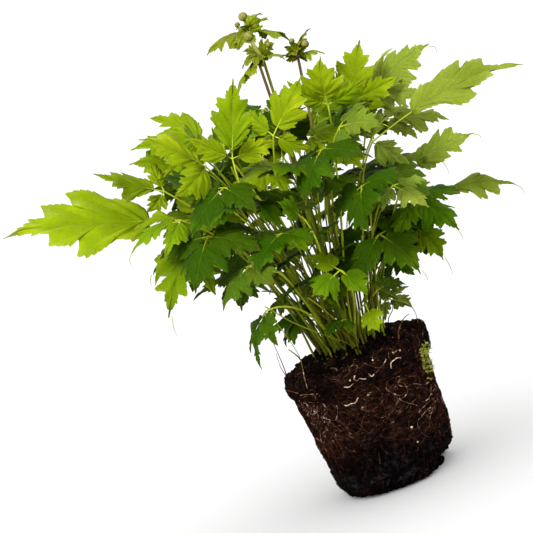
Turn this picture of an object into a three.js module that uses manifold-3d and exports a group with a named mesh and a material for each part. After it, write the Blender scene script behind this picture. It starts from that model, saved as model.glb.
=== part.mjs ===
// A Japanese anemone lifted out of its pot: the root ball, which keeps the pot's shape, and the leafy stems,
// the flower stems and the buds that stand in it.
// Millimetres, +Z up, the origin at the middle of the ball's flat foot.

import * as THREE from "three";
import { mergeVertices } from "three/addons/utils/BufferGeometryUtils.js";
import Module from "manifold-3d";

const wasm = await Module();
wasm.setup();

// Root ball
const RIM_RADIUS = 64; // the top of a 13 cm nursery pot, inside
const BALL_HEIGHT = 117;
const COLLAR_HEIGHT = 21; // the band below the rim, where the pot's wall steps out
const COLLAR_STEP = 3.4;
const FOOT_RADIUS = 42; // the flat that the ball stands on
const FOOT_CURVE = 9; // the height over which the foot's edge is rounded
const WALL_LOW_RADIUS = 52;
const CROWN_RISE = 8; // the soil is heaped up round the stems
const CROWN_RADIUS = 26;
const CROWN_TILT = 2.5; // the top lies higher on the right
const CROWN_WAVES = [{ count: 3, high: 1.5 }, { count: 8, high: 0.9 }];
const BALL_SIDES = 24;
const LUMPS = [{ count: 5, climb: 0.06, deep: 0.9 }, { count: 11, climb: -0.09, deep: 0.6 }]; // of the wall
const CHIP_AT = THREE.MathUtils.degToRad(-20); // a corner of the foot has crumbled away here
const CHIP_HALF_WIDTH = THREE.MathUtils.degToRad(40);
const CHIP_HEIGHT = 16;
const CHIP_DEPTH = 9;
const CHIP_RISE = 8;

// Crown: where the stems come out of the soil
const SLOT_SPACING = 4.3;
const SLOT_COUNT = 62;
const SLOT_LEAN = 1.35; // a stem that leans out more starts nearer to the crown's edge
const SLOT_LEAST_RISE = 60;
const GOLDEN_ANGLE = Math.PI * (3 - Math.sqrt(5));
const STEM_FOOT = 109; // the stems' lower ends, in holes in the soil
const STEM_FREE = 127; // from here up a stem leans
const HOLE_RADIUS = 2.1;
const HOLE_SIDES = 4;
const HOLE_GAP = 0.4;
const FLOWER_HOLE_EXTRA = 0.7;

// Leaves
const STEM_RADIUS_LOW = 1.45;
const STEM_RADIUS_HIGH = 1.0;
const STEM_STEPS = 3;
const LEAVE_OUT = 0.55; // how a stem leaves the crown: this much straight to its leaf, and the rest upright
const LEAVE_UP = 0.45;
const LEAVE_PULL = 0.35; // how far the ends' directions hold, as shares of the stem's length
const ARRIVE_PULL = 0.3;
const RIB_HALF = 0.75; // half the thickness of a leaflet at its rib, near the stalk
const EDGE_HALF = 0.35; // half the thickness at its edge
const BEND_POWER = 1.35; // a leaflet bends more towards its tip
const RIB_SAMPLES = 24;
const FOLD = 13; // degrees that each half of a leaflet rises from the rib
const WAVE = 0.022; // waviness of the edge, as a share of the leaflet's length
const WAVE_COUNT = 1.6;
const TWIST = 16; // most degrees that a leaflet turns about its rib
const STALK = 9; // a leaflet's own little stalk
const SIDE_STALK = 0.6; // a side leaflet's stalk, bend and foot, as shares of the middle one's
const SIDE_BEND = 0.9;
const SIDE_FOOT = 0.55;
const SIDE_BROADER = 0.15;
const UP_LEAN = 0.35; // how far a leaf's upper face turns towards the plant's middle
const CLEARANCE = 0.9; // least room between two leaves
const TRIES = 500;
const NUDGE = 1.1; // how far a leaf moves, times the root of the try's number, to come clear
const NUDGE_ROLL = 2; // and how many degrees it rolls for each millimetre
const SEED = 20260;

// Half outlines of a leaflet: share of its length from the stalk, and width as a share of its length
const SLIM = [[0, 0.01], [0.1, 0.1], [0.3, 0.135], [0.5, 0.215], [0.53, 0.14], [0.67, 0.18], [0.7, 0.1],
  [0.83, 0.075], [1, 0]];
const BROAD = [[0, 0.012], [0.02, 0.26], [0.22, 0.4], [0.52, 0.5], [0.48, 0.27], [0.72, 0.3], [0.73, 0.19],
  [0.85, 0.12], [1, 0]];
const RIB_STATIONS = [0, 0.18, 0.4, 0.62, 0.82];
const RIB_OF_OUTLINE = [0, 0, 1, 2, 2, 3, 3, 4, 5]; // the rib station that each outline point is tied to
const MIDDLE_POINTS = [0, 1, 2, 3, 4, 5, 6, 7, 8]; // the outline points that a middle leaflet has
const SIDE_POINTS = [0, 1, 3, 4, 5, 6, 8]; // and a side leaflet, or a bract
const SIDE_INNER = 0.7; // a side leaflet is narrower on the side of the middle one

// The leaves that give the plant its outline and its front, by the place of their junction and of the middle
// leaflet's tip. sag: degrees that the leaflet bends down. roll: degrees that its face turns to its right.
// broad: 0 long to 1 wide. dark: 0 young yellow green to 1 old deep green. sides: the side leaflets' size,
// splay: their angle. What a leaf leaves out is usual.
const USUAL = { stalk: STALK, sag: 35, roll: 0, sides: 0.9, splay: 66 };
const PLACED = [
  { at: [-77, -5, 265], tip: [-235, -30, 320], stalk: 46, sag: 10, roll: -44, broad: 0.3, dark: 0, sides: 0.35 },
  { at: [76, -15, 277], tip: [215, -25, 296], stalk: 42, sag: 36, roll: 34, broad: 0.2, dark: 0.2, sides: 0.4 },
  { at: [-59, -45, 311], tip: [-101, -58, 356], sag: 20, roll: -50, broad: 0.4, dark: 0 },
  { at: [-52, 18, 324], tip: [-114, 14, 338], sag: 40, roll: -35, broad: 0.2, dark: 0, splay: 42 },
  { at: [-99, -10, 300], tip: [-148, -20, 336], sag: -12, roll: -40, broad: 0.3, dark: 0.15, sides: 0.55 },
  { at: [-37, -60, 312], tip: [-13, -60, 373], sag: -22, roll: 150, broad: 0.28, dark: 0.05, sides: 0.6 },
  { at: [1, -65, 320], tip: [39, -74, 357], sag: 30, roll: 100, broad: 0.5, dark: 0.05, sides: 0.6, splay: 80 },
  { at: [52, -35, 322], tip: [58, -54, 364], roll: 120, broad: 0.85, dark: 0, splay: 58 },
  { at: [74, 10, 311], tip: [99, 15, 356], roll: 45, broad: 0.6, dark: 0.05, splay: 58 },
  { at: [93, 25, 309], tip: [152, 20, 330], sag: 48, roll: 28, broad: 0.45, dark: 0.12, sides: 0.8, splay: 50 },
  { at: [94, 34, 284], tip: [148, 40, 262], roll: 25, broad: 0.4, dark: 0.15, sides: 0.6, splay: 42 },
  { at: [97, -15, 243], tip: [158, -25, 254], sag: 46, roll: 42, broad: 0.3, dark: 0.22, sides: 0 },
  { at: [110, 5, 212], tip: [180, 10, 194], sag: 44, roll: 22, broad: 0.1, dark: 0.4, sides: 0 },
  { at: [-98, -48, 279], tip: [-150, -62, 273], sag: 52, roll: -20, broad: 0.1, dark: 0.2, splay: 42 },
  { at: [-86, -32, 256], tip: [-136, -55, 205], sag: 60, roll: -20, broad: 0.1, dark: 0.3, sides: 0.8, splay: 36 },
  { at: [-78, 9, 306], tip: [-136, 9, 331], sag: 40, roll: -30, broad: 0.2, dark: 0.1, sides: 0.55, splay: 50 },
  { at: [-56, -85, 230], tip: [-88, -108, 208], roll: -20, broad: 0.9, dark: 0.95, sides: 1 },
  { at: [52, -90, 258], tip: [43, -124, 226], broad: 1, dark: 1, splay: 80 },
  { at: [12, -84, 199], tip: [-17, -102, 190], sag: 15, roll: -62, broad: 1, dark: 0.35, sides: 1, splay: 85 },
  { at: [-22, -82, 244], tip: [-52, -112, 226], roll: -15, broad: 0.9, dark: 0.9, splay: 78 },
  { at: [-75, -70, 262], tip: [-100, -98, 226], broad: 0.9, dark: 1, sides: 1, splay: 78 },
  { at: [-12, 32, 297], tip: [38, 52, 294], roll: -50, broad: 1, dark: 0.7, sides: 1, splay: 62 },
  { at: [-40, 30, 312], tip: [-22, 34, 346], sag: 24, roll: -20, broad: 0.5, dark: 0.35, sides: 0.7, splay: 56 },
  { at: [82, -50, 250], tip: [116, -76, 220], roll: 10, broad: 0.8, dark: 0.95, sides: 1, splay: 76 },
  { at: [81, -25, 204], tip: [98, -44, 168], sag: 58, broad: 0.5, dark: 0.5 },
  { at: [-56, -88, 190], tip: [-77, -104, 150], sag: 40, roll: -10, broad: 0.2, dark: 0.75, splay: 42 },
  { at: [22, -58, 160], tip: [24, -78, 138], broad: 0.9, dark: 0.25, sides: 0 },
  { at: [-51, -70, 297], tip: [-92, -98, 272], sag: 40, roll: -30, broad: 0.7, dark: 0.9, splay: 74 },
  { at: [72, -80, 252], tip: [92, -104, 230], sag: 20, roll: 10, broad: 0.6, dark: 0.2, sides: 0.8 },
  { at: [0, -75, 247], tip: [-16, -92, 271], sag: 10, roll: -100, broad: 0.8, dark: 0.6, sides: 0 },
  { at: [51, -50, 206], tip: [78, -80, 176], sag: 45, broad: 0.4, dark: 0.85 },
  { at: [-2, -30, 332], tip: [-28, -58, 316], roll: -30, broad: 0.8, dark: 0.85, splay: 74 },
  { at: [93, -40, 222], tip: [114, -68, 190], sag: 45, broad: 0.75, dark: 0.9, splay: 74 },
  { at: [54, -60, 305], tip: [90, -84, 296], sag: 50, roll: 40, broad: 0.5, dark: 0.5, sides: 0.8 },
  { at: [36, -75, 294], tip: [10, -112, 258], roll: -25, broad: 0.85, dark: 0.9, splay: 76 },
];

// The other leaves fill the plant round to its back, in tiers
const TIERS = [
  { count: 3, height: 196, reach: 72, rise: -30, length: 60, broad: 0.7, dark: 0.85 },
  { count: 4, height: 244, reach: 92, rise: -16, length: 72, broad: 0.6, dark: 0.7 },
  { count: 3, height: 294, reach: 86, rise: 6, length: 74, broad: 0.45, dark: 0.35 },
];
const TIER_FROM = THREE.MathUtils.degToRad(8); // azimuths run over the side that the placed leaves leave open
const TIER_TO = THREE.MathUtils.degToRad(172);
const TIER_SAG = 48;
const TIER_SPREAD = { rise: 14, heading: 0.5, height: 14, sag: 14, roll: 25, tone: 0.25 }; // to either side
const TIER_RANGE = {
  place: [0.3, 0.7], reach: [0.75, 1.1], length: [0.85, 1.2], sides: [0.7, 0.95], splay: [52, 74],
};

// Flower stems: the place of the whorl of bracts, the bracts' tips with the size of their side leaflets,
// and the places and radii of the buds on their stalks
const FLOWER_RADIUS_LOW = 1.7;
const FLOWER_RADIUS_HIGH = 1.2;
const FLOWER_BOW = 6; // how far a flower stem's curve is drawn up from straight
const FLOWER_STEPS = 5;
const FLOWER_SIDES = 4;
const TUBE_HINT = [0.9, 0.3, 0.1]; // a direction that no flower stem runs along
const PEDICEL_RADIUS = 0.75;
const PEDICEL_FLARE = 1.2;
const BUD_GAP = 0.4;
const BUD_PROFILE = [[0, -0.95], [0.45, -0.88], [0.95, -0.3], [0.98, 0.2], [0.66, 0.78], [0, 1]];
const BUD_SIDES = 8;
const BRACT = { sag: 50, roll: 0, stalk: 4, broad: 0.6, splay: 52, twist: [0.2, 0.1, -0.1] };
const FLOWERS = [
  {
    whorl: [16, -18, 375],
    bracts: [[-15, -30, 354, 0], [33, -32, 369, 0], [1, -6, 367, 0]],
    buds: [[11.5, -22, 396, 4.2], [24, -14, 383, 2.4]],
  },
  {
    whorl: [13, 12, 396],
    bracts: [[-26, 4, 391, 0.7], [34, 30, 398, 0], [44, 26, 374, 0]],
    buds: [[13.4, 10, 410, 3.9], [7, 24, 404, 2.4]],
  },
  {
    whorl: [44, 0, 364],
    bracts: [[62, 4, 382, 0], [66, -10, 359, 0], [29, -8, 369, 0]],
    buds: [[53, -6, 372, 3.3], [44, 6, 377, 2.4]],
  },
];

const COLOURS = { soil: 0x38281c, stalk: 0x86893a, bud: 0x9a8f6f };
const LEAF_TONES = [
  { upTo: 0.28, colour: 0xa3bb28 }, // young leaves at the top and outside
  { upTo: 0.65, colour: 0x6f9420 },
  { upTo: 1, colour: 0x44701a }, // old leaves, low and inside
];

const vec = (p) => new THREE.Vector3(...p);
const degrees = THREE.MathUtils.degToRad;
const mix = (a, b, t) => a + (b - a) * t;
const sum = (list, value) => list.reduce((total, item) => total + value(item), 0);

// Numbers from 0 to 1 that are the same on every run
function randomFrom(seed) {
  let state = seed >>> 0;
  const next = () => {
    state = (Math.imul(state, 1664525) + 1013904223) >>> 0;
    return state / 4294967296;
  };
  next();
  next();
  return next;
}

function solidOf(positions, triangles) {
  const vertProperties = new Float32Array(positions);
  const triVerts = new Uint32Array(triangles);
  return new wasm.Manifold(new wasm.Mesh({ numProp: 3, vertProperties, triVerts }));
}

function solidOfGeometry(geometry) {
  geometry.deleteAttribute("normal");
  geometry.deleteAttribute("uv");
  const merged = mergeVertices(geometry, 1e-4);
  return solidOf(merged.attributes.position.array, merged.index.array);
}

function meshOf(name, solid, colour, roughness) {
  const made = solid.getMesh();
  const geometry = new THREE.BufferGeometry();
  geometry.setAttribute("position", new THREE.BufferAttribute(new Float32Array(made.vertProperties), 3));
  geometry.setIndex(new THREE.BufferAttribute(new Uint32Array(made.triVerts), 1));
  geometry.computeVertexNormals();
  const look = { color: colour, roughness, metalness: 0, flatShading: true };
  const material = new THREE.MeshStandardMaterial(look);
  const mesh = new THREE.Mesh(geometry, material);
  mesh.name = name;
  return mesh;
}

// The root ball before the stems' holes: a lathed pot shape, strayed from round by a formula
function rootBall() {
  const collarFoot = BALL_HEIGHT - COLLAR_HEIGHT;
  const steep = (RIM_RADIUS - COLLAR_STEP - 1 - WALL_LOW_RADIUS) / (collarFoot - FOOT_CURVE);
  const wall = (z) => WALL_LOW_RADIUS + steep * (z - FOOT_CURVE);
  const profile = [
    [0, 0], [FOOT_RADIUS, 0], [WALL_LOW_RADIUS - 4, 2.6], [wall(FOOT_CURVE), FOOT_CURVE], [wall(36), 36],
    [wall(66), 66], [wall(collarFoot - 3), collarFoot - 3], [RIM_RADIUS - 1, collarFoot + 1],
    [RIM_RADIUS, BALL_HEIGHT - 9], [RIM_RADIUS - 1, BALL_HEIGHT - 2], [RIM_RADIUS - 5, BALL_HEIGHT],
    [RIM_RADIUS - 18, BALL_HEIGHT + 1], [CROWN_RADIUS, BALL_HEIGHT + CROWN_RISE * 0.7],
    [0, BALL_HEIGHT + CROWN_RISE],
  ].map(([r, z]) => new THREE.Vector2(r, z));
  const geometry = new THREE.LatheGeometry(profile, BALL_SIDES);
  geometry.rotateX(Math.PI / 2);
  const position = geometry.attributes.position;
  for (let i = 0; i < position.count; i++) {
    const p = new THREE.Vector3().fromBufferAttribute(position, i);
    if (p.z > 0 || Math.hypot(p.x, p.y) > FOOT_RADIUS - 1) position.setXYZ(i, ...strayed(p));
  }
  return solidOfGeometry(geometry);
}

// A point of the ball's surface, moved as the soil strays from a perfect pot shape
function strayed({ x, y, z }) {
  const radius = Math.hypot(x, y);
  const onFoot = z === 0;
  const angle = Math.atan2(y, x);
  const across = Math.max(0, 1 - Math.abs(angle - CHIP_AT) / CHIP_HALF_WIDTH);
  const chip = Math.min(1, 2 * across) * Math.max(0, 1 - z / CHIP_HEIGHT);
  const lump = sum(LUMPS, ({ count, climb, deep }) => deep * Math.sin(count * angle + climb * z));
  const grown = radius < 1e-6 ? radius : radius + lump * (onFoot ? 0.3 : 1) - CHIP_DEPTH * chip;
  let height = onFoot ? 0 : z + CHIP_RISE * chip;
  if (z > BALL_HEIGHT - COLLAR_HEIGHT / 2) {
    const share = Math.min(1, radius / CROWN_RADIUS);
    height += share * sum(CROWN_WAVES, ({ count, high }) => high * Math.sin(count * (angle + 1)));
    height += CROWN_TILT * ((radius / RIM_RADIUS) * Math.cos(angle) - 0.4);
  }
  return [grown * Math.cos(angle), grown * Math.sin(angle), height];
}

// The holes' places are laid out as a sunflower's seeds are
const slots = Array.from({ length: SLOT_COUNT }, (_, i) => {
  const radius = SLOT_SPACING * Math.sqrt(i + 0.5);
  return { x: radius * Math.cos(i * GOLDEN_ANGLE), y: radius * Math.sin(i * GOLDEN_ANGLE), taken: false };
});

// The free slot nearest to where a stem that reaches out to a place would start
function takeSlot(place) {
  const out = Math.hypot(place.x, place.y);
  const spread = SLOT_SPACING * Math.sqrt(SLOT_COUNT);
  const radius = spread * Math.min(1, (SLOT_LEAN * out) / Math.max(SLOT_LEAST_RISE, place.z - STEM_FREE));
  const x = (place.x / (out + 1e-9)) * radius;
  const y = (place.y / (out + 1e-9)) * radius;
  const free = slots.filter((slot) => !slot.taken);
  const near = free.reduce((a, b) => (Math.hypot(a.x - x, a.y - y) <= Math.hypot(b.x - x, b.y - y) ? a : b));
  near.taken = true;
  return near;
}

function holeAt(slot, extra = 0) {
  const top = BALL_HEIGHT + CROWN_RISE + 6;
  const foot = STEM_FOOT - HOLE_GAP - extra;
  const radius = HOLE_RADIUS + extra;
  const geometry = new THREE.CylinderGeometry(radius, radius, top - foot, HOLE_SIDES);
  geometry.rotateX(Math.PI / 2).translate(slot.x, slot.y, (top + foot) / 2);
  return solidOfGeometry(geometry);
}

// A curve of unit length that turns by bend, more towards its end: points and directions in its own plane
function bendCurve(bend) {
  const points = [{ along: 0, down: 0, turn: 0 }];
  for (let i = 1; i <= RIB_SAMPLES; i++) {
    const turn = bend * ((i - 0.5) / RIB_SAMPLES) ** BEND_POWER;
    const last = points[i - 1];
    points.push({
      along: last.along + Math.cos(turn) / RIB_SAMPLES,
      down: last.down + Math.sin(turn) / RIB_SAMPLES,
      turn: bend * (i / RIB_SAMPLES) ** BEND_POWER,
    });
  }
  return points;
}

// The midrib of a leaflet as a function of the share of its length: the place and the axes there
function midrib({ start, forward, up, length, bend, twist }) {
  const points = bendCurve(bend);
  const across = forward.clone().cross(up);
  return (share) => {
    const x = Math.min(share, 1) * RIB_SAMPLES;
    const i = Math.min(Math.floor(x), RIB_SAMPLES - 1);
    const a = points[i];
    const b = points[i + 1];
    const along = mix(a.along, b.along, x - i) * length;
    const down = mix(a.down, b.down, x - i) * length;
    const turn = mix(a.turn, b.turn, x - i);
    const place = start.clone().addScaledVector(forward, along).addScaledVector(up, -down);
    const f = forward.clone().multiplyScalar(Math.cos(turn)).addScaledVector(up, -Math.sin(turn));
    const n = up.clone().multiplyScalar(Math.cos(turn)).addScaledVector(forward, Math.sin(turn));
    const roll = twist * share;
    const side = across.clone().multiplyScalar(Math.cos(roll)).addScaledVector(n, Math.sin(roll));
    const top = n.multiplyScalar(Math.cos(roll)).addScaledVector(across, -Math.sin(roll));
    return { place, forward: f, side, top };
  };
}

// A leaflet with what it stands on, as one closed mesh: the rings of its stem, then the blade, an even sheet
// that is thicker at the rib. Both faces are split into triangles alike.
function leaflet({ rings, rib, stalk, length, broad, waves, outline, widths }, grow) {
  const positions = [];
  const triangles = [];
  const put = (p) => positions.push(p.x, p.y, p.z) / 3 - 1;
  const face = (a, b, c, flip) => {
    if (a !== b && b !== c && a !== c) triangles.push(...(flip ? [a, c, b] : [a, b, c]));
  };
  const total = stalk + length;
  const top = [];
  const bottom = [];
  const edges = [[], []]; // right and left, each a list of the upper and the lower point
  for (const ring of rings) {
    top.push(put(ring.place.clone().addScaledVector(ring.top, ring.radius + grow)));
    bottom.push(put(ring.place.clone().addScaledVector(ring.top, -ring.radius - grow)));
    [1, -1].forEach((hand, k) => {
      const edge = put(ring.place.clone().addScaledVector(ring.side, hand * (ring.radius + grow)));
      edges[k].push([edge, edge]);
    });
  }
  const first = rings.length;
  for (const station of RIB_STATIONS) {
    const at = rib((stalk + station * length) / total);
    const half = mix(RIB_HALF, EDGE_HALF, station) + grow;
    top.push(put(at.place.clone().addScaledVector(at.top, half)));
    bottom.push(put(at.place.clone().addScaledVector(at.top, -half)));
  }
  const end = put(rib(1).place);
  top.push(end);
  bottom.push(end);
  [1, -1].forEach((hand, k) => {
    outline.forEach((i) => {
      if (i === SLIM.length - 1) return edges[k].push([end, end]);
      const share = mix(SLIM[i][0], BROAD[i][0], broad);
      const width = mix(SLIM[i][1], BROAD[i][1], broad) * widths[k];
      const at = rib((stalk + share * length) / total);
      const wave = WAVE * Math.sin(2 * Math.PI * WAVE_COUNT * share + waves[k]) * Math.min(1, width / 0.15);
      const reach = width * length + grow;
      const lift = reach * Math.sin(degrees(FOLD)) + wave * length;
      const place = at.place.addScaledVector(at.side, hand * reach * Math.cos(degrees(FOLD)));
      place.addScaledVector(at.top, lift);
      const half = EDGE_HALF + grow;
      edges[k].push([
        put(place.clone().addScaledVector(at.top, half)),
        put(place.clone().addScaledVector(at.top, -half)),
      ]);
    });
  });
  const tie = (i) => (i < first ? i : first + RIB_OF_OUTLINE[outline[i - first]]);
  edges.forEach((edge, k) => {
    [top, bottom].forEach((ribs, lower) => {
      const flip = (k === 1) !== (lower === 1);
      for (let i = 0; i + 1 < edge.length; i++) {
        face(ribs[tie(i)], edge[i][lower], edge[i + 1][lower], flip);
        for (let r = tie(i); r < tie(i + 1); r++) face(ribs[r], edge[i + 1][lower], ribs[r + 1], flip);
      }
    });
    for (let i = 0; i + 1 < edge.length; i++) {
      face(edge[i][0], edge[i][1], edge[i + 1][1], k === 1);
      face(edge[i][0], edge[i + 1][1], edge[i + 1][0], k === 1);
    }
  });
  face(top[0], edges[1][0][0], bottom[0]);
  face(top[0], bottom[0], edges[0][0][0]);
  return solidOf(positions, triangles);
}

function ringAt(place, forward, up, radius) {
  const side = forward.clone().cross(up).normalize();
  return { place, side, top: side.clone().cross(forward).normalize(), radius };
}

// The rings of a stem that leaves its hole upright and bends over to the leaf's junction
function stemRings(root, junction, arrive, up) {
  const free = vec([root.x, root.y, STEM_FREE]);
  const reach = junction.clone().sub(free);
  const length = reach.length();
  const leave = reach.clone().normalize().multiplyScalar(LEAVE_OUT).add(vec([0, 0, LEAVE_UP])).normalize();
  const end = reach.clone().normalize().add(arrive).normalize();
  const path = new THREE.CubicBezierCurve3(
    free,
    free.clone().addScaledVector(leave, length * LEAVE_PULL),
    junction.clone().addScaledVector(end, -length * ARRIVE_PULL),
    junction,
  );
  const rings = [ringAt(vec([root.x, root.y, STEM_FOOT]), vec([0, 0, 1]), vec([1, 0, 0]), STEM_RADIUS_LOW)];
  const low = vec([1, 0, 0]);
  for (let i = 0; i < STEM_STEPS; i++) {
    const u = i / STEM_STEPS;
    const hint = low.clone().multiplyScalar(1 - u).addScaledVector(up, u);
    rings.push(ringAt(path.getPoint(u), path.getTangent(u), hint, mix(STEM_RADIUS_LOW, STEM_RADIUS_HIGH, u)));
  }
  return rings;
}

// The axes of a leaf where its leaflets meet, and the whole length of the middle one with its stalk
function leafAxes({ at, tip, sag, roll }) {
  const junction = vec(at);
  const chord = vec(tip).sub(junction);
  const bend = degrees(sag);
  const curve = bendCurve(bend)[RIB_SAMPLES];
  const total = chord.length() / Math.hypot(curve.along, curve.down);
  const drop = Math.atan2(curve.down, curve.along);
  const heading = chord.normalize();
  const inward = vec([-junction.x, -junction.y, 0]).normalize();
  const side = heading.clone().cross(inward.multiplyScalar(UP_LEAN).add(vec([0, 0, 1]))).normalize();
  const level = side.clone().cross(heading);
  const face = level.multiplyScalar(Math.cos(degrees(roll))).addScaledVector(side, Math.sin(degrees(roll)));
  const forward = heading.clone().multiplyScalar(Math.cos(drop)).addScaledVector(face, Math.sin(drop));
  const up = face.clone().multiplyScalar(Math.cos(drop)).addScaledVector(heading, -Math.sin(drop));
  return { junction, forward, up, total, bend };
}

// The one or three leaflets of a leaf or a bract. The middle one has the rings of what carries it.
function blades({ stalk, broad, sides, splay, waves, twist }, axes, rings, grow) {
  const { junction, forward, up, total, bend } = axes;
  const length = total - stalk;
  const rib = midrib({ start: junction, forward, up, length: total, bend, twist: twist[0] });
  const middle = { outline: MIDDLE_POINTS, widths: [1, 1], waves: waves[0] };
  let leaf = leaflet({ rings, rib, stalk, length, broad, ...middle }, grow);
  if (!sides) return leaf;
  const sideStalk = Math.min(stalk, STALK) * SIDE_STALK;
  const sideLength = length * sides;
  [1, -1].forEach((hand, k) => {
    const angle = degrees(splay) * hand;
    const out = forward.clone().multiplyScalar(Math.cos(angle));
    out.addScaledVector(forward.clone().cross(up), Math.sin(angle));
    const whole = sideStalk + sideLength;
    const bent = { length: whole, bend: bend * SIDE_BEND, twist: twist[k + 1] };
    const sideRib = midrib({ start: junction, forward: out, up, ...bent });
    const foot = [ringAt(junction, out, up, STEM_RADIUS_HIGH * SIDE_FOOT)];
    const widths = hand > 0 ? [1, SIDE_INNER] : [SIDE_INNER, 1];
    const broader = { broad: mix(broad, 1, SIDE_BROADER), widths, waves: waves[k + 1] };
    const shape = { rings: foot, rib: sideRib, stalk: sideStalk, length: sideLength, outline: SIDE_POINTS };
    leaf = leaf.add(leaflet({ ...shape, ...broader }, grow));
  });
  return leaf;
}

// The whole leaf: its stem and its leaflets
function leafFrom(spec, root, grow = 0) {
  const axes = leafAxes(spec);
  const { junction, forward, up } = axes;
  const rings = [...stemRings(root, junction, forward, up), ringAt(junction, forward, up, STEM_RADIUS_HIGH)];
  return blades(spec, axes, rings, grow);
}

const around = (random, spread) => mix(-spread, spread, random());
const between = (random, [low, high]) => mix(low, high, random());

// What is drawn for a leaf: the waves of its edges and the twist of each leaflet
function dressed(spec, index) {
  const random = randomFrom(SEED + 31 * index);
  const waves = [0, 1, 2].map(() => [random() * 2 * Math.PI, random() * 2 * Math.PI]);
  const twist = [0, 1, 2].map(() => degrees(around(random, TWIST)));
  return { ...spec, waves, twist };
}

// The leaf moved a little, further with every try
function nudged(spec, index, attempt) {
  if (attempt === 0) return spec;
  const random = randomFrom(SEED + 977 * index + 7919 * attempt);
  const reach = NUDGE * Math.sqrt(attempt);
  const shift = [0, 1, 2].map(() => around(random, reach));
  const swing = [0, 1, 2].map(() => around(random, reach));
  return {
    ...spec,
    at: spec.at.map((v, i) => v + shift[i]),
    tip: spec.tip.map((v, i) => v + shift[i] + swing[i]),
    roll: spec.roll + around(random, NUDGE_ROLL) * reach,
  };
}

function tierLeaf(tier, i, random) {
  const { rise: riseSpread, heading: headingSpread, height: heightSpread, sag, roll, tone } = TIER_SPREAD;
  const azimuth = mix(TIER_FROM, TIER_TO, (i + between(random, TIER_RANGE.place)) / tier.count);
  const reach = tier.reach * between(random, TIER_RANGE.reach);
  const rise = degrees(tier.rise + around(random, riseSpread));
  const length = tier.length * between(random, TIER_RANGE.length);
  const heading = azimuth + around(random, headingSpread);
  const height = tier.height + around(random, heightSpread);
  const at = [reach * Math.cos(azimuth), reach * Math.sin(azimuth), height];
  const run = length * Math.cos(rise);
  const share = (value) => Math.min(1, Math.max(0, value));
  return {
    at,
    tip: [at[0] + run * Math.cos(heading), at[1] + run * Math.sin(heading), at[2] + length * Math.sin(rise)],
    sag: TIER_SAG + around(random, sag),
    roll: around(random, roll),
    broad: share(tier.broad + around(random, tone)),
    dark: share(tier.dark + around(random, tone)),
    sides: between(random, TIER_RANGE.sides),
    splay: between(random, TIER_RANGE.splay),
  };
}

const tierLeaves = TIERS.flatMap((tier, t) =>
  Array.from({ length: tier.count }, (_, i) => tierLeaf(tier, i, randomFrom(SEED + 100 * t + i))),
);

// A tapering tube through points, closed at both ends
function taperedTube(points, radii, sides) {
  const positions = [];
  const triangles = [];
  points.forEach((point, i) => {
    const before = points[Math.max(0, i - 1)];
    const after = points[Math.min(points.length - 1, i + 1)];
    const { side, top } = ringAt(point, after.clone().sub(before).normalize(), vec(TUBE_HINT), 1);
    for (let k = 0; k < sides; k++) {
      const turn = (2 * Math.PI * k) / sides;
      const p = point.clone().addScaledVector(side, radii[i] * Math.cos(turn));
      p.addScaledVector(top, radii[i] * Math.sin(turn));
      positions.push(p.x, p.y, p.z);
    }
  });
  const ring = (i, k) => i * sides + (k % sides);
  const last = points.length - 1;
  for (let k = 0; k < sides; k++) {
    for (let i = 0; i + 1 < points.length; i++) {
      triangles.push(ring(i, k), ring(i + 1, k), ring(i + 1, k + 1));
      triangles.push(ring(i, k), ring(i + 1, k + 1), ring(i, k + 1));
    }
    if (k < 2) continue;
    triangles.push(0, ring(0, k - 1), ring(0, k));
    triangles.push(ring(last, 0), ring(last, k), ring(last, k - 1));
  }
  return solidOf(positions, triangles);
}

// A flower stem: the stalk, a whorl of three leafy bracts, and the little stalks that the buds sit on
function flowerStem({ whorl, bracts, buds }, root) {
  const head = vec(whorl);
  const free = vec([root.x, root.y, STEM_FREE]);
  const middle = free.clone().lerp(head, 0.5).add(vec([0, 0, FLOWER_BOW]));
  const path = new THREE.QuadraticBezierCurve3(free, middle, head);
  const points = [vec([root.x, root.y, STEM_FOOT]), ...path.getPoints(FLOWER_STEPS)];
  const radii = points.map((_, i) => mix(FLOWER_RADIUS_LOW, FLOWER_RADIUS_HIGH, i / (points.length - 1)));
  let stem = taperedTube(points, radii, FLOWER_SIDES);
  bracts.forEach(([x, y, z, sides], i) => {
    const waves = [0, 1, 2].map((k) => [i + k, i + k + 2]);
    const spec = { ...BRACT, at: whorl, tip: [x, y, z], sides, waves };
    const axes = leafAxes(spec);
    const foot = ringAt(head, axes.forward, axes.up, FLOWER_RADIUS_HIGH * SIDE_FOOT);
    stem = stem.add(blades(spec, axes, [foot], 0));
  });
  for (const [x, y, z, radius] of buds) {
    const lift = vec([x, y, z]).sub(head);
    const end = head.clone().addScaledVector(lift, 1 - (radius + BUD_GAP) / lift.length());
    const bow = head.clone().lerp(end, 0.5).add(vec([lift.x / 5, lift.y / 5, -1]));
    const stalk = [PEDICEL_RADIUS * PEDICEL_FLARE, PEDICEL_RADIUS, PEDICEL_RADIUS];
    stem = stem.add(taperedTube([head, bow, end], stalk, FLOWER_SIDES));
  }
  return stem;
}

// A closed bud: nearly round, flat where its stalk meets it
function budSolid(whorl, [x, y, z, radius]) {
  const points = BUD_PROFILE.map(([r, h]) => new THREE.Vector2(r * radius, h * radius));
  const geometry = new THREE.LatheGeometry(points, BUD_SIDES);
  const rise = vec([x, y, z]).sub(vec(whorl)).normalize();
  const turn = new THREE.Quaternion().setFromUnitVectors(vec([0, 1, 0]), rise);
  geometry.applyQuaternion(turn).translate(x, y, z);
  return solidOfGeometry(geometry);
}

const two = (n) => String(n).padStart(2, "0");
const apart = (a, b) => {
  for (let i = 0; i < 3; i++) if (a.min[i] > b.max[i] || b.min[i] > a.max[i]) return true;
  return false;
};

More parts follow.
